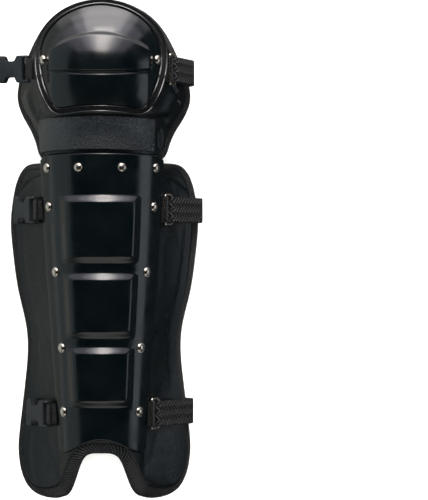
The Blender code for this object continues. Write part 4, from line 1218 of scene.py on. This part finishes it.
def makeMale(name, y):
    half, top, end, length = buckle["width"] / 2, male["height"], strap["end"], male["length"]
    reach = half - buckle["wall"] - 2 * gap
    under, over = male["rise"]
    box = boxMesh((end - male["body"] * length, y - half, 0), (end, y + half, top))
    body = looseObject(box, "maleBuckle_" + name)
    prongs = []
    for low, high in male["prongs"]:
        box = boxMesh((end - length, y + low * reach, under * top),
                      (end - male["root"] * length, y + high * reach, over * top))
        prongs.append(looseObject(box, "prong"))
    carve(body, prongs, "UNION")
    softenEdges(body, buckle["softEdge"])
    settle(body, Matrix.Identity(4), "male_buckle_" + name)


def windowCutter(side):  # opens one side of the waist; its ends flare outward
    wide, past = buckle["width"] / 2, buckle["past"]
    start = buckle["length"] - buckle["windowStart"] - buckle["windowLength"]
    low, high = sorted((side * buckle["waist"] / 2, side * (wide + past)))
    bm = boxMesh((start, low, -past), (start + buckle["windowLength"], high, past))
    for v in bm.verts:
        if abs(v.co.y) > wide:
            v.co.x += buckle["windowFlare"] * (1 if v.co.x > start + 0.001 else -1)
    upright = [e for e in bm.edges if abs(e.verts[0].co.z - e.verts[1].co.z) > past]
    bmesh.ops.bevel(bm, geom=upright, offset=buckle["windowCorner"], segments=5, affect="EDGES", profile=0.5)
    return looseObject(bm, "window")


def slotCutter(barRadius):  # frees the bar that the webbing turns round
    bm = bmesh.new()
    slotEnd, past, slotWide = barRadius + buckle["slot"], 0.02, strap["tabWidth"] / 2 + 2 * gap
    outline = ((-past, barRadius), (barRadius, barRadius), (barRadius, -barRadius), (-past, -barRadius),
               (-past, -past), (slotEnd, -past), (slotEnd, past), (-past, past))
    ends = [[bm.verts.new((x, across, z)) for x, z in outline] for across in (-slotWide, slotWide)]
    for k in range(len(outline)):
        m = (k + 1) % len(outline)
        bm.faces.new((ends[0][k], ends[0][m], ends[1][m], ends[1][k]))
    bm.faces.new(ends[0])
    bm.faces.new(ends[1])
    return looseObject(bm, "slot")


def makeFemale(name, y, half, seat, start):
    barRadius = buckle["bar"] / 2
    wrap = barRadius * math.sqrt(2) + gap + strap["tabThickness"] / 2
    lift = buckle["height"] / 2 + 2 * gap
    if name == "top":
        first = seat(half, seatGap + buckle["topSeat"] * cap["weltHeight"])
        tilt = buckle["topTilt"]
    else:
        first = seat(half + gap, lift)
        far = seat(half + buckle["lean"] * (strap["buckleTabReach"] + buckle["length"] + lift), lift)
        tilt = math.atan2(first.y - far.y, far.x - first.x)
    along = Vector((math.cos(tilt), -math.sin(tilt)))
    bar = first + along * (strap["buckleTabReach"] + barRadius)
    path = tabPath(start, bar, along, wrap, buckle["tabOverlap"] * strap["buckleTabReach"])
    makeBand("buckleTab_" + name, path, y, strap["tabWidth"], strap["tabThickness"], -1, webbing,
             "webbing", "buckle_tab_" + name)

    wide, tall, length, wall = buckle["width"] / 2, buckle["height"] / 2, buckle["length"], buckle["wall"]
    bm = boxMesh((-barRadius, -wide, -tall), (length, wide, tall))
    bmesh.ops.bevel(bm, geom=bm.edges, offset=buckle["corner"], segments=4, affect="EDGES", profile=0.5)
    body = looseObject(bm, "femaleBuckle_" + name)
    mouth = looseObject(boxMesh((length - buckle["mouth"], wall - wide, wall - tall),
                                (length + buckle["past"], wide - wall, tall - wall)), "mouth")
    carve(body, [mouth, windowCutter(-1), windowCutter(1), slotCutter(barRadius)])
    softenEdges(body, buckle["softEdge"])
    matrix = Matrix.Translation((-bar.x, y, bar.y)) @ Matrix.Rotation(math.pi, 4, "Z")
    settle(body, matrix @ Matrix.Rotation(tilt, 4, "Y"), "female_buckle_" + name)


def makeStrap(name, y, reach, curl):
    half, seat = sectionSeat(name, y)
    start = seat(half + strap["tabClearance"], gap + strap["tabThickness"] / 2)
    wrap = strap["wire"] + gap + strap["tabThickness"] / 2
    elasticWrap = strap["wire"] + gap + strap["thickness"] / 2
    rest = elasticWrap + strap["thickness"] / 2 + 2 * gap
    first = seat(half + gap, rest)
    along = (seat(half + gap + 0.02, rest) - first).normalized()
    innerBar = first + along * (strap["loopTabReach"] + strap["wire"])
    outerBar = innerBar + along * strap["loopLength"]
    path = tabPath(start, innerBar, along, wrap, strap["loopTabReach"])
    makeBand("loopTab_" + name, path, y, strap["width"], strap["tabThickness"], 1, webbing,
             "webbing", "loop_tab_" + name)
    makeLoop(name, innerBar, outerBar, y)
    makeElastic(name, y, outerBar, along, elasticWrap, reach, curl)
    makeMale(name, y)
    makeFemale(name, y, half, seat, start)


stitchTree, stitchKeys = makeStitchTree()
seamPaths = makeShinPad()
makeKneePad()
makeNeckPanel()
print("pads swelled")
makeBinding("shinBinding", shinPadEdges((110, 150)), shinHeight, squareEnds, "shin_pad_binding")
makeBinding("kneeBinding", kneePadEdges((90, 110)), kneeHeight, kneeEnds, "knee_pad_binding")
layStitches("weltStitches", [makeWelt()], welt["stitches"])
layStitches("padStitches", seamPaths, padSeam["stitches"])
print("edges bound and sewn")
makeRivets()
for row in straps:
    makeStrap(*row)
print("rivets and straps fitted")

# Studio: pale floor, soft boxes round the table, and a camera straight above

studio = {
    "floor": "#f4f4f2", "floorDrop": 0.0004, "cameraX": 0.1041, "cameraY": 0.2321, "cameraHeight": 1.8,
    "viewHeight": 0.4775, "air": "#0a1014", "airStrength": 1.0,
    # where each low glow starts and is full, as the air's x, and its colour
    "glows": ((-0.1, -0.6, (0.36, 0.37, 0.34, 1.0)), (0.3, 0.75, (0.04, 0.045, 0.05, 1.0))),
    # name, place, size, brightness, colour, shows in gloss; each box points at the guard
    "lights": (
        ("overhead", (0.2, 0.2, 2.8), (3.2, 3.2), 3.9, "#ffffff", False),
        ("leftBox", (-1.2, 0.25, 0.45), (2.6, 1.1), 0.50, "#e4f2f6", True),
        ("rightStrip", (1.2, 0.25, 0.41), (1.1, 0.50), 1.2, "#e8f0f8", True),
        ("headBox", (0.0, 1.8, 0.95), (2.8, 1.9), 1.5, "#dcd8e8", True),
        ("headLampWide", (0.02, 1.76, 0.80), (1.4, 2.2), 1.7, "#f2eef4", True),
        ("headLampMiddle", (0.03, 1.74, 0.70), (0.85, 2.4), 3.2, "#f8f2f0", True),
        ("headLamp", (0.05, 1.72, 1.10), (0.5, 1.6), 7.0, "#fbf4ea", True),
        ("headBounce", (0.05, 1.7, -0.9), (2.4, 1.5), 0.9, "#ece8ea", True),
        ("footBox", (0.1, -1.5, 0.85), (2.2, 1.3), 1.0, "#f0ece4", True),
    ),
}


def addLight(name, spot, size, brightness, colour, inGloss):
    data = bpy.data.lights.new(name, "AREA")
    data.shape = "RECTANGLE"
    data.size, data.size_y = size
    data.energy = brightness * math.pi * size[0] * size[1]
    data.color = srgb(colour)[:3]
    light = bpy.data.objects.new(name, data)
    bpy.context.scene.collection.objects.link(light)
    light.location = Vector(spot) + place
    aim = Vector((0.0, 0.23, 0.05)) + place - light.location
    if inGloss:
        aim.z = 0.0  # the boxes stand upright round the table
    light.rotation_euler = aim.to_track_quat("-Z", "Y").to_euler()
    light.visible_camera = False
    light.visible_glossy = inGloss


def makeAir():  # dark overhead, a soft glow low on the left and a fainter one on the right
    world = bpy.data.worlds.new("studioAir")
    world.use_nodes = True
    tree = world.node_tree
    spot = addNode(tree, "ShaderNodeTexCoord").outputs["Generated"]
    parts = addNode(tree, "ShaderNodeSeparateXYZ", (0, spot)).outputs
    low = addNode(tree, "ShaderNodeMapRange", ("From Min", 0.02), ("From Max", -0.02), ("Value", parts[2]))
    glow = srgb(studio["air"])
    for start, full, colour in studio["glows"]:
        side = addNode(tree, "ShaderNodeMapRange", ("From Min", start), ("From Max", full),
                       ("Value", parts[0]))
        both = addNode(tree, "ShaderNodeMath", ("operation", "MULTIPLY"), (0, side), (1, low))
        glow = addNode(tree, "ShaderNodeMix", ("data_type", "RGBA"), (0, both), (6, glow),
                       (7, colour)).outputs[2]
    connect(tree, tree.nodes["Background"], (("Strength", studio["airStrength"]), ("Color", glow)))
    bpy.context.scene.world = world


def makeCove():  # floor that turns up into a pale wall all round
    material = startMaterial("paleStudioPaper", studio["floor"], ("Roughness", 0.9),
                             ("Emission Color", srgb(studio["floor"])), ("Emission Strength", 0.3))[0]
    bm = bmesh.new()
    flat, drop, sides = 4.0, studio["floorDrop"], 96
    profile = [(0.0, -drop), (flat / 2, -drop), (flat, -drop)]
    profile += [(flat + math.sin(a), 1 - math.cos(a)) for a in [math.pi / 20 * k for k in range(1, 11)]]
    profile.append((flat + 1, 6.0))
    rings = []
    for radius, z in profile:
        rings.append([bm.verts.new((radius * math.cos(a), radius * math.sin(a), z))
                      for a in [2 * math.pi * k / sides for k in range(sides if radius else 1)]])
    for a, b in zip(rings, rings[1:]):
        for k in range(sides):
            m = (k + 1) % sides
            bm.faces.new((a[0], b[k], b[m]) if len(a) == 1 else (a[k], b[k], b[m], a[m]))
    cove = looseObject(bm, "cove", (material,))
    cove.data.shade_smooth()
    cove.visible_glossy = False


def makeStudio():
    makeCove()
    for light in studio["lights"]:
        addLight(*light)
    makeAir()
    data = bpy.data.cameras.new("camera")
    data.lens = data.sensor_width * studio["cameraHeight"] / studio["viewHeight"]
    data.clip_end = 50
    camera = bpy.data.objects.new("camera", data)
    bpy.context.scene.collection.objects.link(camera)
    camera.location = Vector((studio["cameraX"], studio["cameraY"], studio["cameraHeight"])) + place
    bpy.context.scene.camera = camera
    bpy.context.scene.view_settings.view_transform = "Standard"  # paper white, black finishes black


makeStudio()
print("studio set")
